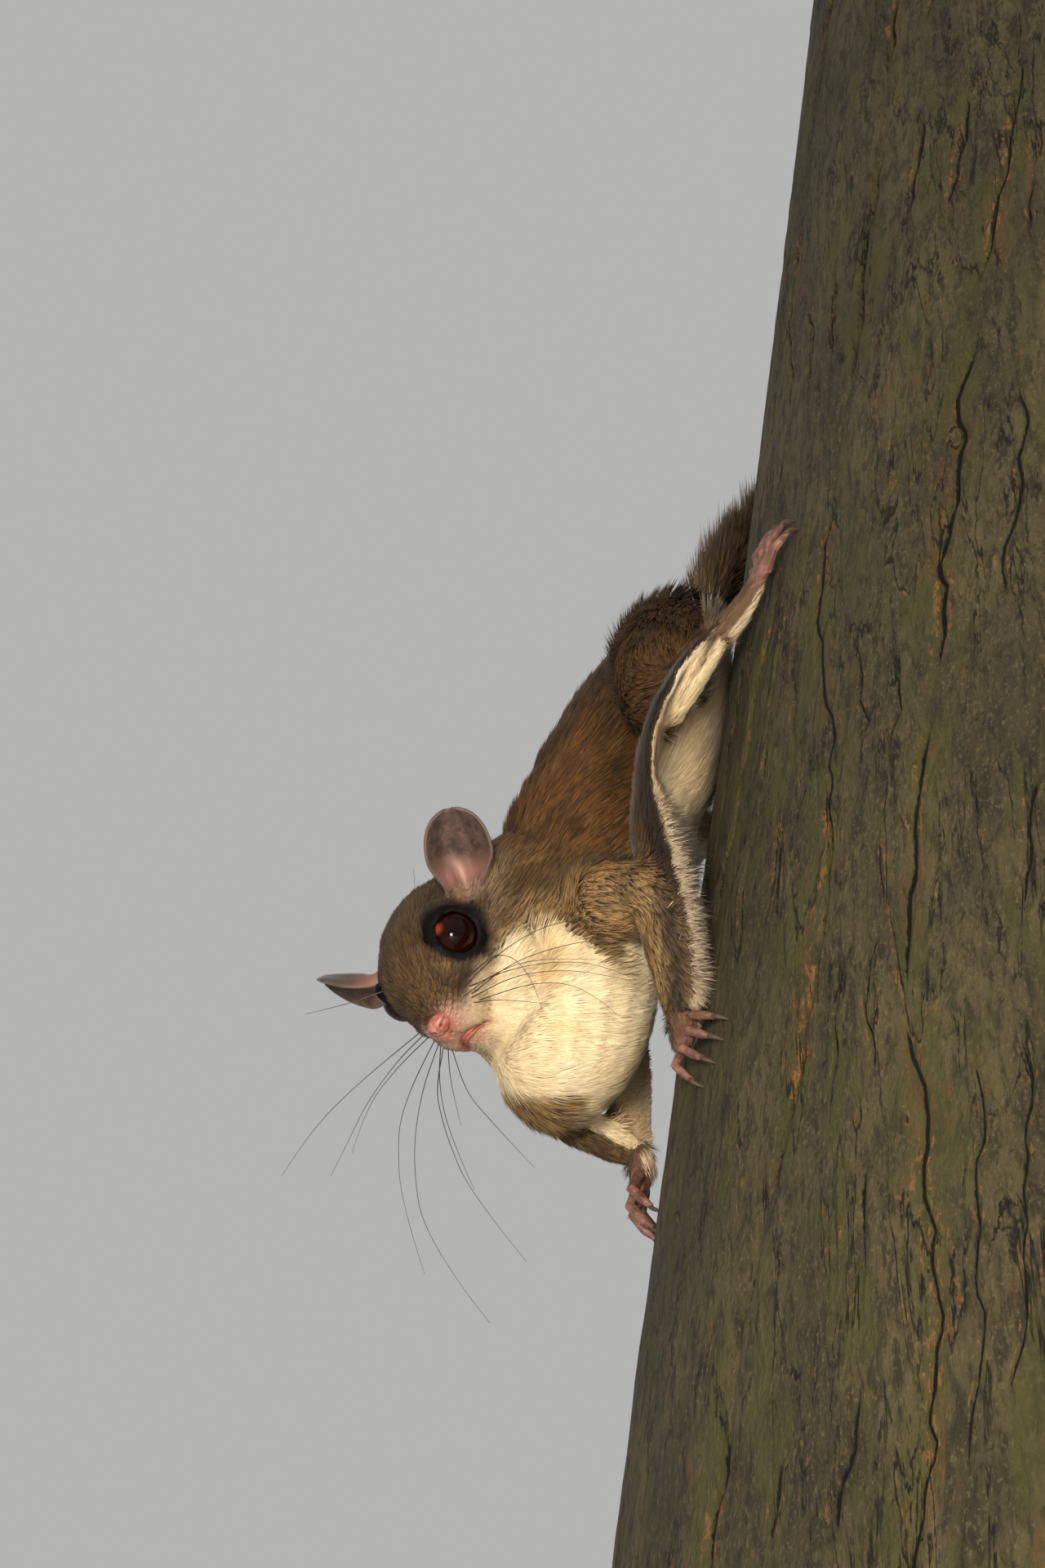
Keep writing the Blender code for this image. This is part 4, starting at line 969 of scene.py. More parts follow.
def lie_of_coat(points, normals, regions):
    """The way the fur lies at each place, in the plane of the hide."""
    ahead = smooth(-points[:, 2], -138.0, -124.0)[:, None]
    nose = in_head([16.5, 0.0, -5.0])
    flows = [unit(points - nose)]
    flows.append(np.tile([-0.45, 0.15, 0.85], (len(points), 1)))
    flows.append(np.array([-0.62, 0.0, 0.78]) * (1 - ahead) + np.array([-0.98, 0.1, 0.12]) * ahead)
    flows.append(np.tile([-0.40, 0.0, 0.90], (len(points), 1)))
    for limb, line in LIMB_LINES.items():
        flow = np.zeros_like(points)
        for start, end in zip(line, line[1:]):
            start, end = np.array(start, dtype=float), np.array(end, dtype=float)
            weight = np.exp(-(from_segment(points, start, end) / 4.5) ** 2) + 1e-6
            flow += unit(end - start) * weight[:, None]
        flows.append(unit(flow))
    for side in (1, -1):
        flows.append(np.tile([-0.2, 0.85 * side, 0.45], (len(points), 1)))
    flows.append(np.tile([-0.5, -0.45, 0.75], (len(points), 1)))
    return laid(sum(f * regions[:, k:k + 1] for k, f in enumerate(flows)), normals)


def rooted(mesh, fields, crowd, seed):
    """Random places over a mesh, crowd of them on each square millimetre, with fields carried to them."""
    mesh.calc_loop_triangles()
    corners = np.empty(len(mesh.loop_triangles) * 3, dtype=np.int32)
    mesh.loop_triangles.foreach_get("vertices", corners)
    corners = corners.reshape(-1, 3)
    points = to_log(mesh_points(mesh))
    a, b, c = (points[corners[:, k]] for k in range(3))
    area = np.linalg.norm(np.cross(b - a, c - a), axis=1) / 2
    load = np.cumsum(area * crowd[corners].mean(axis=1))
    rng = np.random.default_rng(seed)
    count = int(load[-1])
    chosen = np.searchsorted(load, (np.arange(count) + rng.random(count)) / count * load[-1])
    chosen = np.minimum(chosen, len(corners) - 1)
    share = np.sqrt(rng.random(count))
    turn = rng.random(count)
    weights = np.stack([1 - share, share * (1 - turn), share * turn], axis=1)
    return [(field[corners[chosen]] * weights[..., None]).sum(axis=1) for field in [points] + fields]


def tufts(name, roots, normals, flow, length, width, lift, colours, patch, rings=1, clump=1.4, pull=0.45,
          softness=0.6):
    """Closed bent tufts, each a flattened strand with one or two rings of three points between root and tip.

    Tips within a clump are pulled together, and the shading is turned by softness towards the hide's below.
    """
    across = unit(np.cross(flow, normals))
    rise = flow * np.cos(lift * 1.5)[:, None] + normals * np.sin(lift * 1.5)[:, None]
    fall = flow * np.cos(lift * 0.35)[:, None] + normals * np.sin(lift * 0.35)[:, None]
    elbow = roots + rise * length[:, None] * 0.45
    tip = elbow + fall * length[:, None] * 0.55
    jitter = np.stack([drift(roots, 2.0, seed) for seed in (21, 22, 23)], axis=1)
    cell = np.floor(roots / clump + 0.35 * jitter).astype(int)
    tuft_of = np.unique(cell, axis=0, return_inverse=True)[1].ravel()
    size = np.bincount(tuft_of)
    middle = np.stack([np.bincount(tuft_of, tip[:, k]) / size for k in range(3)], axis=1)[tuft_of]
    tip = tip + (middle - tip) * pull
    start = roots - normals * 0.25
    path = []
    for share in ([0.42] if rings == 1 else [0.30, 0.66]):
        path.append(start * (1 - share) ** 2 + elbow * 2 * share * (1 - share) + tip * share ** 2)
    count = len(roots)
    stride = 2 + 3 * rings
    points = np.empty((count, stride, 3))
    points[:, 0] = start
    points[:, -1] = tip
    for k, centre in enumerate(path):
        broad = (width * (0.5 if k == 0 else 0.36))[:, None]
        points[:, 1 + 3 * k] = centre + across * broad
        points[:, 2 + 3 * k] = centre - across * broad
        points[:, 3 + 3 * k] = centre + normals * broad * 0.75
    faces = [(0, 2, 1), (0, 3, 2), (0, 1, 3)]
    sides = ((1, 2), (2, 3), (3, 1))
    for k in range(rings - 1):
        for i, j in sides:
            faces += [(i + 3 * k, j + 3 * k, j + 3 * k + 3), (i + 3 * k, j + 3 * k + 3, i + 3 * k + 3)]
    last = 3 * rings - 3
    faces += [(last + i, last + j, stride - 1) for i, j in sides]
    faces = np.array(faces)
    mesh = bpy.data.meshes.new(name)
    mesh.vertices.add(count * stride)
    mesh.vertices.foreach_set("co", to_row(points.reshape(-1, 3)).astype(np.float32).ravel())
    index = (faces[None] + np.arange(count)[:, None, None] * stride).reshape(-1)
    mesh.loops.add(len(index))
    mesh.loops.foreach_set("vertex_index", index.astype(np.int32))
    mesh.polygons.add(len(index) // 3)
    mesh.polygons.foreach_set("loop_start", np.arange(0, len(index), 3, dtype=np.int32))
    mesh.update(calc_edges=True)
    spread = np.zeros((stride, 2))
    for k in range(rings):
        level = 2 * PATCH_HALF * (k + 1) / (rings + 1) - PATCH_HALF
        spread[1 + 3 * k:4 + 3 * k] = [(-PATCH_HALF, level), (PATCH_HALF, level), (0.0, level)]
    spread[0] = (0.0, -PATCH_HALF)
    spread[-1] = (0.0, PATCH_HALF)
    spots = (patch[:, None, :] + spread[None]).reshape(-1, 2)
    layer = mesh.uv_layers.new(name="OFBake")
    layer.uv.foreach_set("vector", spots[index].astype(np.float32).ravel())
    tones = np.empty((count, stride, 3))
    tones[:, 0] = colours[0]
    tones[:, 1:-1] = colours[1][:, None]
    tones[:, -1] = colours[2]
    paint_points(mesh, "coat_colour", tones.reshape(-1, 3))
    mesh.shade_smooth()
    shading = np.repeat(normals, stride, axis=0) @ LOG_AXES.T * softness
    shading = shading + mesh_normals(mesh) * (1.0 - softness)
    mesh.normals_split_custom_set_from_vertices(unit(shading))
    piece = add_object(name, mesh)
    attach(piece, "root")
    return piece


def coat_finish(name, sheen):
    """Fur, its colour carried by the tufts and broken up by fine streaks."""
    finish = Finish(name, Roughness=0.62, Specular_IOR_Level=0.16, Sheen_Weight=sheen, Sheen_Roughness=0.4)
    streak = finish.grain(3.5, 3.0)
    finish.colour(finish.mix(0.35 * streak, finish.attribute("coat_colour"), (0.30, 0.24, 0.20), "MULTIPLY"))
    finish.roughness(0.5 + 0.3 * streak)
    finish.bump(streak, 0.15, 0.0001)
    return finish.material


brown_fur = coat_finish("brown_fur", 0.02)
cream_fur = coat_finish("cream_fur", 0.08)


def axis_share(values):
    """Values scaled to run from 0 to 1."""
    return (values - values.min()) / np.ptp(values)


def inset(patch):
    """Keep places on a 0 to 1 sheet off its edge."""
    return patch * 0.98 + 0.01


def unwrap(points, centre, axis, front, span):
    """Turn round an axis and place along it, each from 0 to 1, as if the hide were slit and laid flat."""
    axis = unit(np.array(axis, dtype=float))
    front = unit(np.array(front, dtype=float) - axis * (np.array(front, dtype=float) @ axis))
    side = np.cross(axis, front)
    away = points - centre
    turn = np.arctan2(away @ side, away @ front) / math.tau + 0.5
    low, high = span
    return inset(np.clip(np.stack([turn, (away @ axis - low) / (high - low)], axis=1), 0.0, 1.0))


thinning = coat_thinning(hide_points, shares)
lie = lie_of_coat(hide_points, hide_normals, shares)
head_share = shares[:, 0]
hide_places = to_head(hide_points)
bare = head_share * fading(off_sight(hide_places), 4.9, 5.7)
bare = np.maximum(bare, head_share * fading(apart(hide_places, NOSE_PLACE), 1.9, 2.9))
bare = np.maximum(bare, head_share * 0.8 * fading(from_line(hide_points, MOUTH), 0.7, 1.7))
bare = np.maximum(bare, smooth(ear_hollow(hide_places), 0.5, 0.75))
fringe_share = np.zeros(len(hide_points))
for name, line in EDGES.items():
    fringe_share += shares[:, REGIONS.index(name)] * fading(from_line(hide_points, line), 0.6, 1.8)
crowd = (shares @ COAT["crowd"]) * (1.0 - bare)
crowd = crowd * (1.0 + 0.5 * head_share * (1.0 - thinning)) * (1.0 + 2.2 * fringe_share)
lie = laid(soften(lie, hide_edges, 36, 0.6), hide_normals)
crowd *= 1.0 - 0.5 * pink


def skirt_share(points, normals, regions):
    """1 under the near membrane, low down, where long pale fur hangs from it to the bark."""
    skirt = regions[:, 8] * smooth(facing_log(points, normals), -0.3, 0.2)
    skirt = skirt * fading(points[:, 2], 146.0, 160.0)
    return skirt * fading(from_line(points, EDGES["patagium_left"]), 3.5, 6.0)


crowd *= 1.0 + 4.0 * skirt_share(hide_points, hide_normals, shares)
fields = [hide_normals, shares, lie, np.stack([thinning, fringe_share], axis=1)]
roots, normals, regions, lie, extra = rooted(hide.data, fields, crowd, 11)
normals, lie = unit(normals), unit(lie)
rng = np.random.default_rng(12)
count = len(roots)
coat, tips, brown, pink = markings(roots, normals, regions)
sway = 0.24 * drift(roots, 2.4, 13) + 0.26 * drift(roots, 7.0, 14) * (1.0 - regions[:, 0])
sway = sway + rng.normal(0.0, 0.10, count)
side_way = np.cross(normals, lie)
lie = unit(lie * np.cos(sway)[:, None] + side_way * np.sin(sway)[:, None])
skirt = skirt_share(roots, normals, regions)
lie = unit(lie + skirt[:, None] * (np.array([-2.4, -0.2, -1.3]) + rng.normal(0.0, 0.8, (count, 3))))
length = (regions @ COAT["length"]) * (0.22 + 0.78 * extra[:, 0]) * rng.uniform(0.7, 1.25, count)
length *= 1.0 - 0.5 * np.clip(extra[:, 1], 0.0, 1.0)
length *= 1.0 + rng.uniform(0.6, 2.2, count) * skirt
over_bark = smooth(facing_log(roots, normals), 0.35, 0.75) * regions[:, 3]
length *= 1.0 + 0.15 * over_bark
width = (regions @ COAT["width"]) * (0.55 + 0.45 * extra[:, 0]) * rng.uniform(0.75, 1.2, count)
width *= 1.0 - 0.5 * skirt
lift = (regions @ COAT["lift"]) * rng.uniform(0.6, 1.5, count)
lift = lift + 0.08 * drift(roots, 4.0, 15) + 0.16 * over_bark
creamy = cream_mask(roots, normals, regions)
lift *= 1.0 - 0.42 * creamy * (1.0 - over_bark)
length *= 1.0 - 0.16 * creamy * (1.0 - over_bark)
width *= 1.0 + 0.22 * creamy
guard = (rng.random(count) < 0.15 * brown)[:, None]
tone = 1.0 + rng.uniform(-1.0, 1.0, count)[:, None] * (0.20 + 0.28 * brown[:, None])
middle_tone = np.where(guard, [0.030, 0.022, 0.018], coat * tone)
tip_tone = blend(0.35 + 0.5 * rng.random(count), coat * tone, tips * tone)
tip_tone = np.where(guard, [0.05, 0.036, 0.028], tip_tone)
skirt_tone = blend(rng.random(count), (0.50, 0.38, 0.24), (0.82, 0.68, 0.47))
middle_tone = blend(0.9 * skirt, middle_tone, skirt_tone)
tip_tone = blend(0.9 * skirt, tip_tone, skirt_tone * 1.1)
root_tone = middle_tone * (0.40 + 0.50 * (1.0 - brown))[:, None]
middle_tone = blend(pink * 0.8, middle_tone, (0.58, 0.35, 0.26))
tip_tone = blend(pink * 0.7, tip_tone, (0.82, 0.66, 0.54))
main = regions.argmax(axis=1)
ventral = creamy > 0.5
spine = at(20.0, 0.0, 160.0)
GROUPS = {
    "coat_face": ((main == 0) & (to_head(roots)[:, 0] > 1.5), "head"),
    "coat_crown": ((main == 0) & (to_head(roots)[:, 0] <= 1.5), "head"),
    "coat_shoulders": ((main == 1) | ((main == 2) & ~ventral), "trunk"),
    "coat_breast": ((main == 2) & ventral, "trunk"),
    "coat_back": ((main == 3) & ~ventral, "trunk"),
    "coat_belly": ((main == 3) & ventral, "trunk"),
    "coat_forelegs": ((main == 4) | (main == 5), "limbs"),
    "coat_hindlegs": ((main == 6) | (main == 7), "limbs"),
    "coat_membrane_left": (main == 8, "sheet"),
    "coat_membrane_right": (main == 9, "sheet"),
}
for name, (chosen, shape) in GROUPS.items():
    spots = roots[chosen]
    if shape == "head":
        patch = unwrap(spots, HEAD_PLACE, HEAD_AXES[0], HEAD_AXES[2], (-20.0, 17.0))
    elif shape == "limbs":
        patch = np.empty((len(spots), 2))
        on_left = spots[:, 1] > 0
        for flank, half in ((on_left, 0.0), (~on_left, 0.5)):
            middle = spots[flank].mean(axis=0)
            reach = np.ptp(spots[flank][:, 2]) / 2 + 1.0
            turned = unwrap(spots[flank], middle, (0, 0, 1), (1, 0, 0), (-reach, reach))
            patch[flank] = turned * (0.49, 1.0) + (half, 0.0)
    elif shape == "sheet":
        below = facing_log(spots, normals[chosen]) > 0.0
        across = axis_share(np.abs(spots[:, 1]))
        patch = inset(np.stack([across * 0.48 + 0.51 * below, axis_share(spots[:, 2])], axis=1))
    else:
        patch = unwrap(spots, spine, (0, 0, 1), (1, 0, 0), (-60.0, 70.0))
    fine_clump = 0.9 if shape == "head" else 1.5
    pale = name in ("coat_breast", "coat_belly") or shape == "sheet"
    piece = tufts(name, spots, normals[chosen], lie[chosen], length[chosen], width[chosen], lift[chosen],
                  [root_tone[chosen], middle_tone[chosen], tip_tone[chosen]], patch, 1, fine_clump,
                  0.22 if pale else 0.52, 0.75 if pale else 0.45)
    piece.data.materials.append(cream_fur if pale else brown_fur)


# Tail
# Flat and feather-like: long soft hair grows out to both sides of the thin tail and sweeps back towards its
# tip, with shorter hair lying along its top and underside.
TAIL_REACH = [5.5, 8.0, 10.0, 11.5, 12.2, 12.2, 11.4, 9.4, 7.0]
TAIL_TUFTS = 14600
rng = np.random.default_rng(31)
t = rng.random(TAIL_TUFTS) * 8.0
line = np.array(TAIL_LINE)
step = np.minimum(t.astype(int), 7)
share = t - step
before, after = np.maximum(step - 1, 0), np.minimum(step + 2, 8)


def along_tail(values):
    """Catmull-Rom values at every tuft's place on the tail."""
    values = np.asarray(values, dtype=float)
    a, b, c, d = (values[k] for k in (before, step, step + 1, after))
    s = share[:, None] if values.ndim > 1 else share
    lower = 2 * b + (c - a) * s + (2 * a - 5 * b + 4 * c - d) * s ** 2
    return 0.5 * (lower + (3 * b - a - 3 * c + d) * s ** 3)


centre = along_tail(line)
back = unit(line[step + 1] - line[step])
off = laid(centre * (1, 1, 0), back)
aside = np.cross(back, off)
turn = rng.random(TAIL_TUFTS) * math.tau
turn = turn - 0.42 * np.sin(2 * turn + math.pi)
flank = np.sin(turn)
outward = unit(aside * flank[:, None] + off * (np.cos(turn) * 0.45)[:, None])
sweep = np.radians(16.0 + 26.0 * np.abs(flank)) * rng.uniform(0.75, 1.2, TAIL_TUFTS)
tip_turn = smooth(t, 6.4, 8.0)
sweep *= 1.0 - 0.55 * tip_turn
flow = back * np.cos(sweep)[:, None] + outward * np.sin(sweep)[:, None]
core = np.interp(t, range(9), TAIL_CORE)
roots = centre + (aside * flank[:, None] + off * np.cos(turn)[:, None]) * (core * 0.8)[:, None]
reach = along_tail(TAIL_REACH) * (0.52 + 0.48 * np.abs(flank)) * rng.uniform(0.72, 1.08, TAIL_TUFTS)
length = reach / np.maximum(np.sin(np.radians(16.0 + 26.0 * np.abs(flank))), 0.55)
length *= 0.55 + 0.45 * smooth(t, 0.0, 1.5)
upward = laid(off, flow)
sway = 0.25 * drift(roots, 3.5, 32) + rng.normal(0.0, 0.08, TAIL_TUFTS)
flow = unit(flow + np.cross(upward, flow) * sway[:, None])
tone = rng.uniform(0.75, 1.25, TAIL_TUFTS)[:, None]
mix_tone = 0.5 + 0.5 * drift(roots, 6.0, 33)
coat = blend(mix_tone, (0.130, 0.078, 0.036), (0.20, 0.122, 0.057)) * tone
tips = blend(np.abs(flank), (0.17, 0.105, 0.052), (0.31, 0.20, 0.105)) * tone
guard = (rng.random(TAIL_TUFTS) < 0.2)[:, None]
coat = np.where(guard, [0.045, 0.033, 0.026], coat)
patch = inset(np.stack([turn / math.tau % 1.0, t / 8.0], axis=1))
plume = tufts("coat_tail", roots, upward, flow, length, rng.uniform(0.24, 0.42, TAIL_TUFTS),
              rng.uniform(-0.02, 0.10, TAIL_TUFTS), [coat * 0.5, coat, tips], patch, 2, 2.2, 0.35, 0.0)
plume.data.materials.append(brown_fur)


# Foot fur
# Short sparse hair on the backs of the hands and feet, thick at the wrists, where it hides the join with the
# sleeves of fur, and thinning out towards the toes.
for name, limb in FEET.items():
    foot = feet[name]
    points = to_log(mesh_points(foot.data))
    normals = unit(mesh_normals(foot.data) @ LOG_AXES)
    wrist = WRISTS[limb]
    away = apart(points, wrist)
    upper = smooth(-facing_log(points, normals), -0.3, 0.3)
    sleeve = 13.5 if name.startswith("hind") else 6.5
    crowd = 11.0 * fading(away, sleeve - 5.0, sleeve) + 1.5 * upper * fading(away, 7.0, 14.0)
    end = points[np.argsort(away)[-200:]].mean(axis=0)
    flow = laid(np.tile(unit(end - wrist), (len(points), 1)), normals)
    roots, normals, flow = rooted(foot.data, [normals, flow], crowd, 41)
    normals, flow = unit(normals), unit(flow)
    rng = np.random.default_rng(42)
    count = len(roots)
    away = apart(roots, wrist)
    length = rng.uniform(0.8, 1.3, count) * (2.8 - 1.8 * smooth(away, 1.0, sleeve + 2.0))
    tone = rng.uniform(0.7, 1.3, count)[:, None]
    brown_tone = blend(smooth(facing_log(roots, normals), 0.0, 0.4), (0.115, 0.070, 0.038),
                       (0.60, 0.47, 0.30)) * tone
    patch = unwrap(roots, roots.mean(axis=0), (0, 0, 1), (1, 0, 0), (-14.0, 14.0))
    piece = tufts("coat_" + name, roots, normals, flow, length, np.full(count, 0.14),
                  rng.uniform(0.1, 0.3, count), [brown_tone * 0.6, brown_tone, brown_tone * 1.7], patch,
                  1, 0.8, 0.3)
    piece.data.materials.append(brown_fur)


# Whiskers
# Long springy hairs set in rows on each side of the muzzle, with a few over the eyes. Those on the near side
# sweep back dark across the chest, and those on the far side fan out pale below the chin.
NEAR = [
    [(9.4, 6.6, -4.6), (7.3, 13.4, -5.9), (5.0, 21.4, -9.3), (4.3, 26.8, -13.9), (6.2, 30.9, -19.6),
     (16.3, 37.0, -23.7)],
    [(9.8, 6.4, -6.4), (7.6, 13.8, -8.7), (6.3, 20.4, -13.2), (5.5, 26.4, -18.7), (8.9, 30.0, -24.3),
     (17.8, 36.0, -24.9)],
    [(10.5, 6.2, -6.7), (8.8, 13.6, -10.6), (8.8, 19.8, -16.9), (8.7, 23.2, -23.5), (9.6, 26.5, -29.6)],
    [(10.3, 6.3, -8.1), (10.7, 13.8, -12.3), (10.7, 18.2, -16.8), (11.0, 19.9, -22.3),
     (12.8, 20.0, -27.7)],
    [(8.1, 7.5, -4.3), (6.9, 13.6, -5.7), (7.9, 15.8, -9.0), (11.2, 15.3, -13.6), (14.5, 14.0, -16.5)],
    [(10.8, 6.0, -5.4), (9.8, 13.0, -7.4), (8.6, 19.4, -12.4), (8.4, 24.8, -20.6)],
    [(9.0, 7.0, -5.6), (8.4, 14.0, -9.4), (7.6, 20.0, -15.6), (8.2, 24.0, -21.4), (9.8, 26.0, -26.8)],
    [(11.2, 5.6, -7.2), (12.0, 10.4, -11.2), (12.6, 14.4, -17.4)],
    [(4.6, 6.8, 5.2), (6.6, 12.4, 9.6), (6.0, 19.0, 14.2)],
    [(5.4, 6.2, 4.6), (8.4, 10.6, 8.8), (9.4, 15.4, 13.0)],
]
FAR = [
    [(12.1, -5.0, -3.6), (14.6, -11.0, -2.2), (17.7, -20.2, -1.9), (19.7, -26.3, -2.9),
     (22.6, -33.9, -3.8)],
    [(11.8, -5.2, -5.8), (15.7, -12.4, -6.6), (17.6, -18.2, -8.1), (18.8, -22.5, -10.1),
     (22.9, -30.5, -16.3), (27.5, -38.1, -26.9)],
    [(12.0, -5.0, -7.6), (15.7, -11.1, -10.5), (16.6, -14.6, -13.8), (17.4, -17.9, -17.5),
     (20.2, -23.2, -25.7), (23.5, -27.3, -40.8)],
    [(11.9, -4.6, -9.0), (15.1, -8.8, -15.2), (15.5, -10.7, -21.0), (15.6, -12.3, -25.7),
     (16.2, -14.3, -33.0)],
    [(11.4, -5.4, -3.0), (17.2, -17.2, 1.3), (21.6, -28.4, 3.8), (25.2, -37.4, 3.6)],
    [(12.2, -4.9, -6.6), (16.5, -13.1, -8.7), (21.3, -22.6, -13.7), (26.9, -32.3, -23.3),
     (31.1, -37.1, -40.7)],
    [(11.0, -5.5, -4.8), (13.0, -14.0, -3.2), (14.8, -23.6, -3.0), (16.6, -32.0, -5.6)],
    [(11.4, -5.2, -7.0), (13.2, -12.0, -11.0), (15.0, -19.0, -18.0), (17.2, -24.6, -27.0)],
    [(12.3, -4.4, -8.2), (15.0, -9.0, -12.0), (17.6, -13.6, -17.6)],
    [(4.6, -6.8, 5.2), (6.6, -12.4, 9.6), (6.0, -19.0, 14.2)],
]
whisker_paths = []
for side, thick in ((NEAR, 0.105), (FAR, 0.11)):
    for route in side:
        route = [np.array(spot) for spot in route]
        route.insert(0, route[0] + unit(route[0] - route[1]) * 1.8)
        taper = np.linspace(1.0, 0.2, len(route)) ** 0.8 * thick
        whisker_paths.append([(in_head(spot), radius) for spot, radius in zip(route, taper)])
whiskers = add_object("whiskers", tubes("whiskers", whisker_paths, 1, 7))
bristle = Finish("whisker_hair", Roughness=0.35, Specular_IOR_Level=0.5)
length_tone = bristle.grain(0.08, 2.0)
bristle.colour(bristle.mix(bristle.steps(length_tone, 0.42, 0.6), (0.012, 0.009, 0.007),
                                         (0.06, 0.045, 0.034)))
bristle.roughness(0.3 + 0.2 * length_tone)
bristle.bump(length_tone, 0.05, 0.00005)
bristle.cover(whiskers.data)
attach(whiskers, "root")


# Trunk
# A sawn length of a living tree's trunk. Long crinkled cracks wander up its dark olive bark, deep ones with
# finer ones between, edged with green and ochre where the bark has split, and the sawn ends show pale rings.
LOG_LENGTH = 405.0
FURROWS, FURROW_DEPTH, FURROW_LIP = 20, 1.5, 1.7
FURROW_GAP = math.tau * LOG_RADIUS / FURROWS
FINE_CRACKS = (0.36, 0.67)
BARK_COLUMNS = [-1.2, -0.75, -0.38, 0.0, 0.38, 0.75, 1.2, 2.1, 3.5, 5.0, 6.6, 8.0]
for share in FINE_CRACKS:
    BARK_COLUMNS += [share * FURROW_GAP + step for step in (-0.9, -0.4, 0.0, 0.4, 0.9)]
BARK_COLUMNS += [11.4, 12.9, 14.4, 15.9, 19.6, 21.1, 22.6, 24.1]
BARK_COLUMNS.sort()
BARK_ROWS = 158


def furrow_turn(number, along):
    """Where a deep crack runs round the log at a height, as an angle."""
    kind = number % FURROWS
    wander = 0.16 * np.sin(along / 38.0 + 2.3 * kind) + 0.08 * np.sin(along / 21.0 + 4.1 * kind)
    return (number + wander) * math.tau / FURROWS


def crinkle(number, along, seed):
    """How far a crack jogs to one side at a height, in millimetres."""
    spot = np.stack([along, number % FURROWS * 7.3 + seed, np.full(len(along), 0.5)], axis=1)
    return 1.2 * drift(spot * (1.0, 1.0, 0.0), 13.0, 51) + 1.25 * drift(spot * (1.0, 2.6, 0.0), 4.6, 52)


def presence(number, along, seed, low, high):
    """1 where a crack is open and 0 where the bark has held together."""
    spot = np.stack([along, number % FURROWS * 31.7 + seed, np.zeros(len(along))], axis=1)
    return smooth(drift(spot, 26.0, 53) + 0.3 * drift(spot, 9.0, 54), low, high)


bm = bmesh.new()
around = FURROWS * len(BARK_COLUMNS)
bmesh.ops.create_cone(bm, cap_ends=True, segments=around, radius1=1.0, radius2=1.0, depth=1.0)
bmesh.ops.translate(bm, vec=(0, 0, 0.5), verts=bm.verts)
uprights = [edge for edge in bm.edges if abs(edge.verts[0].co.z - edge.verts[1].co.z) > 0.5]
bmesh.ops.subdivide_edges(bm, edges=uprights, cuts=BARK_ROWS - 1, use_grid_fill=True)
caps = [face for face in bm.faces if len(face.verts) > 4]
for inset in (0.02, 0.05, 0.3):
    bmesh.ops.inset_individual(bm, faces=caps, thickness=inset, use_even_offset=True)
mesh = as_mesh(bm, "trunk_bark")
shape = mesh_points(mesh)
ring_share = np.minimum(np.linalg.norm(shape[:, :2], axis=1), 1.0)
along = shape[:, 2] * LOG_LENGTH
column = np.round(np.arctan2(shape[:, 1], shape[:, 0]) * around / math.tau).astype(int)
furrow, place = np.divmod(column, len(BARK_COLUMNS))
spread = np.array(BARK_COLUMNS)[place]
share = spread / FURROW_GAP
turn = furrow_turn(furrow, along) * (1 - share) + furrow_turn(furrow + 1, along) * share
stops = np.array([0.0, *FINE_CRACKS, 1.0])
jogs = np.stack([crinkle(furrow, along, 0.0), crinkle(furrow, along, 2.1), crinkle(furrow, along, 4.2),
                 crinkle(furrow + 1, along, 0.0)], axis=1)
stretch = np.clip(np.searchsorted(stops, share, side="right") - 1, 0, 2)
within = (share - stops[stretch]) / (stops[stretch + 1] - stops[stretch])
rows = np.arange(len(share))
turn = turn + (jogs[rows, stretch] * (1 - within) + jogs[rows, stretch + 1] * within) / LOG_RADIUS
spots = np.stack([np.cos(turn) * LOG_RADIUS, np.sin(turn) * LOG_RADIUS, along], axis=1)
to_next = FURROW_GAP - spread
nearest = np.where(spread < to_next, furrow, furrow + 1)
off_furrow = np.minimum(np.abs(spread), to_next)
sink = FURROW_DEPTH * (0.65 + 0.35 * np.sin(along / 33.0 + 2.9 * (nearest % FURROWS)))
open_furrow = presence(nearest, along, 0.0, -0.5, -0.15)
crack = np.exp(-(off_furrow / 0.42) ** 2) * open_furrow
valley = np.maximum(0.0, 1.0 - off_furrow / FURROW_LIP)
raised = np.sin(along / 17.0 + 3.7 * (nearest % FURROWS)) > 0.0
lip_side = np.where(raised, spread < to_next, spread > to_next)
lip = np.exp(-((off_furrow - 1.0) / 0.45) ** 2) * open_furrow * (0.25 + 0.75 * lip_side)
fine = np.zeros(len(share))
for number, middle in enumerate(FINE_CRACKS):
    away = np.abs(spread - middle * FURROW_GAP)
    opened = presence(furrow, along, 11.0 + 9.0 * number, -0.1, 0.25)
    fine = np.maximum(fine, np.exp(-(away / 0.36) ** 2) * opened)
    lip = np.maximum(lip, 0.6 * np.exp(-((away - 0.85) / 0.4) ** 2) * opened)
slant = spots + np.column_stack([np.zeros((len(spots), 2)), 0.5 * spread])
flakes = drift(slant * (1, 1, 0.45), 7.0, 60) * 0.30 + drift(slant * (1, 1, 0.8), 2.6, 61) * 0.14
wave = [noise.noise(Vector((math.cos(a) * 2.2, math.sin(a) * 2.2, z / 150.0))) for a, z in zip(turn, along)]
crown = np.clip((off_furrow - FURROW_LIP) / (FURROW_GAP / 2 - FURROW_LIP), 0.0, 1.0)
radius = LOG_RADIUS - 0.4 + 0.9 * np.array(wave) - 0.3 * (1.0 - crown) + flakes * crown ** 0.5
radius = radius - sink * (0.45 * valley + 0.85 * crack) + 0.30 * lip * (0.6 + 0.4 * flakes) - 0.8 * fine
radius = np.where(ring_share > 0.999, radius, (LOG_RADIUS - 1.0) * ring_share)
place_points(mesh, to_row(np.stack([np.cos(turn) * radius, np.sin(turn) * radius, along], axis=1)))
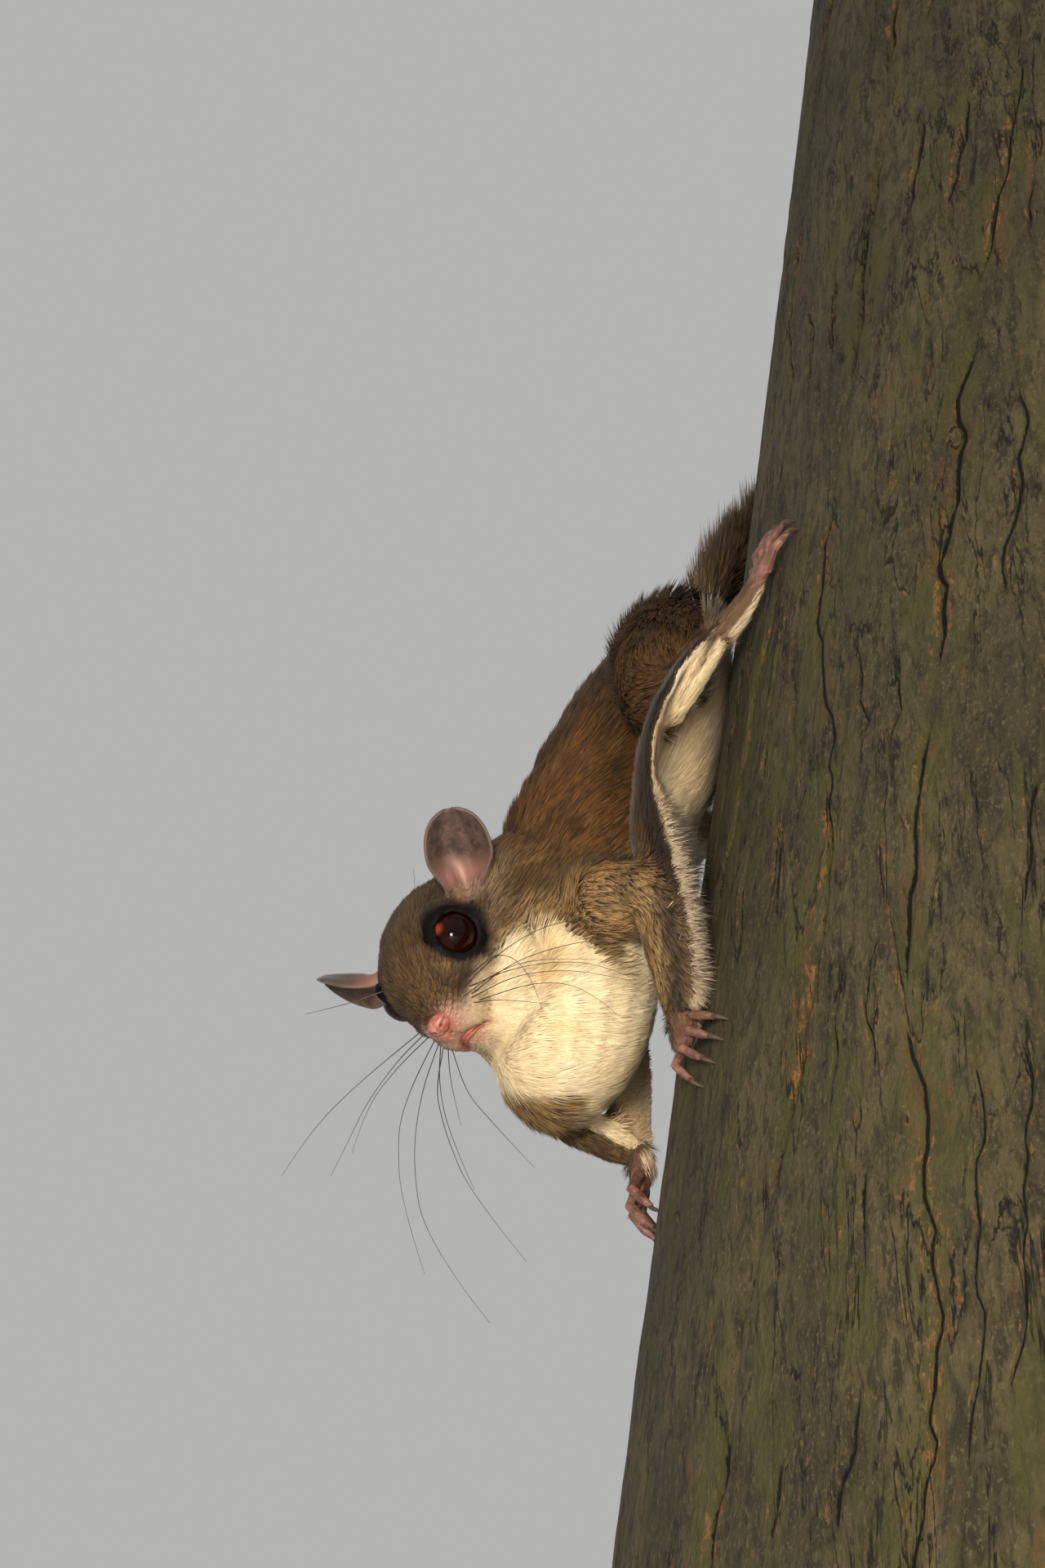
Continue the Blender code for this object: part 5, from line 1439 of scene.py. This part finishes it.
carry(mesh, crack=np.maximum(crack, 0.8 * fine), lip=lip,
      split=np.exp(-(off_furrow / 3.6) ** 2) * open_furrow,
      sawn=np.where(ring_share < 0.995, 1.0, 0.0), ring=ring_share)
face_outward(mesh)
trunk = add_object("trunk_bark", mesh)
bark = Finish("bark", Roughness=0.82, Specular_IOR_Level=0.3)
lean = (0.0, -LOG_LEAN, 0.0)
broad_tone = bark.grain(0.06, 5.0, 0.62, stretch=(1.0, 1.0, 0.45), turn=lean)
fibre = bark.grain(0.55, 7.0, 0.70, 0.6, stretch=(1.0, 1.0, 0.3), turn=lean)
grit = bark.grain(1.5, 6.0, 0.72, stretch=(1.0, 1.0, 0.6), turn=lean)
chips = bark.grain(1.1, 6.0, 0.68, 0.4, stretch=(1.0, 1.0, 0.4), turn=lean)
plates = bark.grain(0.16, 3.0, 0.5, 1.2, stretch=(1.0, 1.0, 0.35), turn=lean)
moss_map = bark.grain(0.12, 5.0, 0.65, stretch=(1.0, 1.0, 0.3), turn=lean)
rust_map = bark.grain(0.16, 5.0, 0.65, stretch=(1.0, 1.0, 0.25), turn=lean)
split = bark.attribute("split", "Fac")
moss = bark.steps(moss_map + 0.14 * split, 0.50, 0.66)
rust = bark.steps(rust_map + 0.16 * split, 0.60, 0.74)
lip_tone = bark.mix(bark.steps(rust_map, 0.44, 0.56), (0.110, 0.098, 0.024), (0.27, 0.120, 0.038))
lip_share = bark.attribute("lip", "Fac") * (0.05 + 1.8 * bark.steps(chips, 0.46, 0.64))
seam_map = bark.grain(0.13, 7.0, 0.60, 0.5, stretch=(1.0, 1.0, 0.14), turn=lean)
seams = 1.0 - bark.steps(abs(seam_map - 0.5), 0.003, 0.013)
seams = seams * bark.steps(plates, 0.38, 0.56)
hems = 1.0 - bark.steps(abs(seam_map - 0.475), 0.006, 0.018)
hems = hems * bark.steps(plates, 0.42, 0.60)
# Painted shade: the open cracks and the fine seams are coloured near black, as their depths would be in
# shadow.
crack_shade = bark.steps(bark.attribute("crack", "Fac") + 1.2 * (chips - 0.5), 0.38, 0.58)
bark_tone = bark.mix(bark.steps(broad_tone, 0.38, 0.64), (0.058, 0.047, 0.021), (0.105, 0.084, 0.035))
bark_tone = bark.layers(bark_tone, (0.85 * bark.steps(fibre, 0.44, 0.62), (0.026, 0.021, 0.011)),
                        (0.6 * bark.steps(grit, 0.52, 0.66), (0.175, 0.138, 0.066)),
                        (0.55 * moss, (0.074, 0.072, 0.015)),
                        (0.75 * rust * bark.steps(chips, 0.42, 0.62), (0.135, 0.060, 0.018)),
                        (0.9 * bark.steps(lip_share, 0.40, 0.85), lip_tone),
                        (0.6 * hems * bark.steps(grit, 0.45, 0.6), lip_tone),
                        (crack_shade.calc("MAXIMUM", crack_shade, 0.9 * seams), (0.004, 0.003, 0.002)))
rings = bark.node("ShaderNodeTexNoise", {"noise_dimensions": "1D"},
                  {"W": bark.attribute("ring", "Fac") * 42.0, "Scale": 1.0, "Detail": 3.0})
wood_tone = bark.mix(Value(bark, rings.outputs["Fac"]), (0.26, 0.155, 0.075), (0.52, 0.37, 0.21))
bark.colour(bark.mix(bark.attribute("sawn", "Fac"), bark_tone, wood_tone))
bark.roughness(0.62 + 0.3 * fibre)
bark.bump(fibre * 0.5 + grit * 0.35 + chips * 0.3 + plates * 0.5 - seams * 0.35, 1.0, 0.0032)
bark.cover(mesh)
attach(trunk, "root")
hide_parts("perch_log")


# Stand
# A heavy steel base and two round rods that carry the log, sprayed a matte black with a fine texture. They
# keep their solids' own shape and are only given the paint.
stand_paint = Finish("stand_paint", Roughness=0.5, Metallic=0.0, Specular_IOR_Level=0.45)
orange_peel = stand_paint.grain(1.4, 3.0)
dust = stand_paint.grain(0.03, 4.0)
dusty = stand_paint.steps(dust, 0.4, 0.75)
stand_paint.colour(stand_paint.mix(dusty, (0.028, 0.028, 0.030), (0.055, 0.054, 0.053)))
stand_paint.roughness(0.42 + 0.2 * dust)
stand_paint.bump(orange_peel, 0.25, 0.0001)
for name in ("stand_base", "stand_rod_left", "stand_rod_right"):
    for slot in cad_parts[name].material_slots:
        slot.material = stand_paint.material


# Floor and lights
# A pale studio floor and four soft lamps: a small key beside the camera, like the photographer's flash, a
# low one next to it, a fill from the log's side, and one behind that parts the coat from the backdrop.
bm = bmesh.new()
bmesh.ops.create_grid(bm, x_segments=2, y_segments=2, size=3.0)
floor = add_object("floor", as_mesh(bm, "floor"))
paper_floor = Finish("studio_floor", Roughness=0.75)
paper = paper_floor.grain(0.02, 3.0)
paper_floor.colour(paper_floor.mix(paper, (0.62, 0.61, 0.59), (0.68, 0.67, 0.65)))
floor.data.materials.append(paper_floor.material)
bpy.context.scene.view_settings.view_transform = "Standard"
WORLD_TINT, WORLD_POWER = (0.84, 0.84, 0.83, 1.0), 0.54
world = bpy.data.worlds.new("studio")
bpy.context.scene.world = world
world.use_nodes = True
backdrop = world.node_tree.nodes["Background"].inputs
backdrop["Color"].default_value = WORLD_TINT
backdrop["Strength"].default_value = WORLD_POWER
FLASH_TINT = (1.0, 0.93, 0.83)
LAMPS = [("key", (-0.19, -0.52, 0.07), 0.11, 3.4, FLASH_TINT),
         ("low", (-0.02, -0.50, 0.03), 0.24, 1.4, FLASH_TINT),
         ("fill", (0.45, -0.7, 0.6), 0.8, 2.2, (1.0, 0.97, 0.93)),
         ("edge", (-0.4, 0.6, 0.9), 0.6, 3.0, (1.0, 1.0, 1.0))]
focus = Vector((-0.12, 0.0, 0.26))
for name, place, size, power, tint in LAMPS:
    lamp = bpy.data.lights.new(name, "AREA")
    lamp.shape = "DISK"
    lamp.energy = power
    lamp.color = tint
    lamp.size = size
    holder = add_object(name, lamp)
    holder.location = place
    holder.rotation_euler = (focus - Vector(place)).to_track_quat("-Z", "Y").to_euler()
    holder.visible_glossy = name == "key"
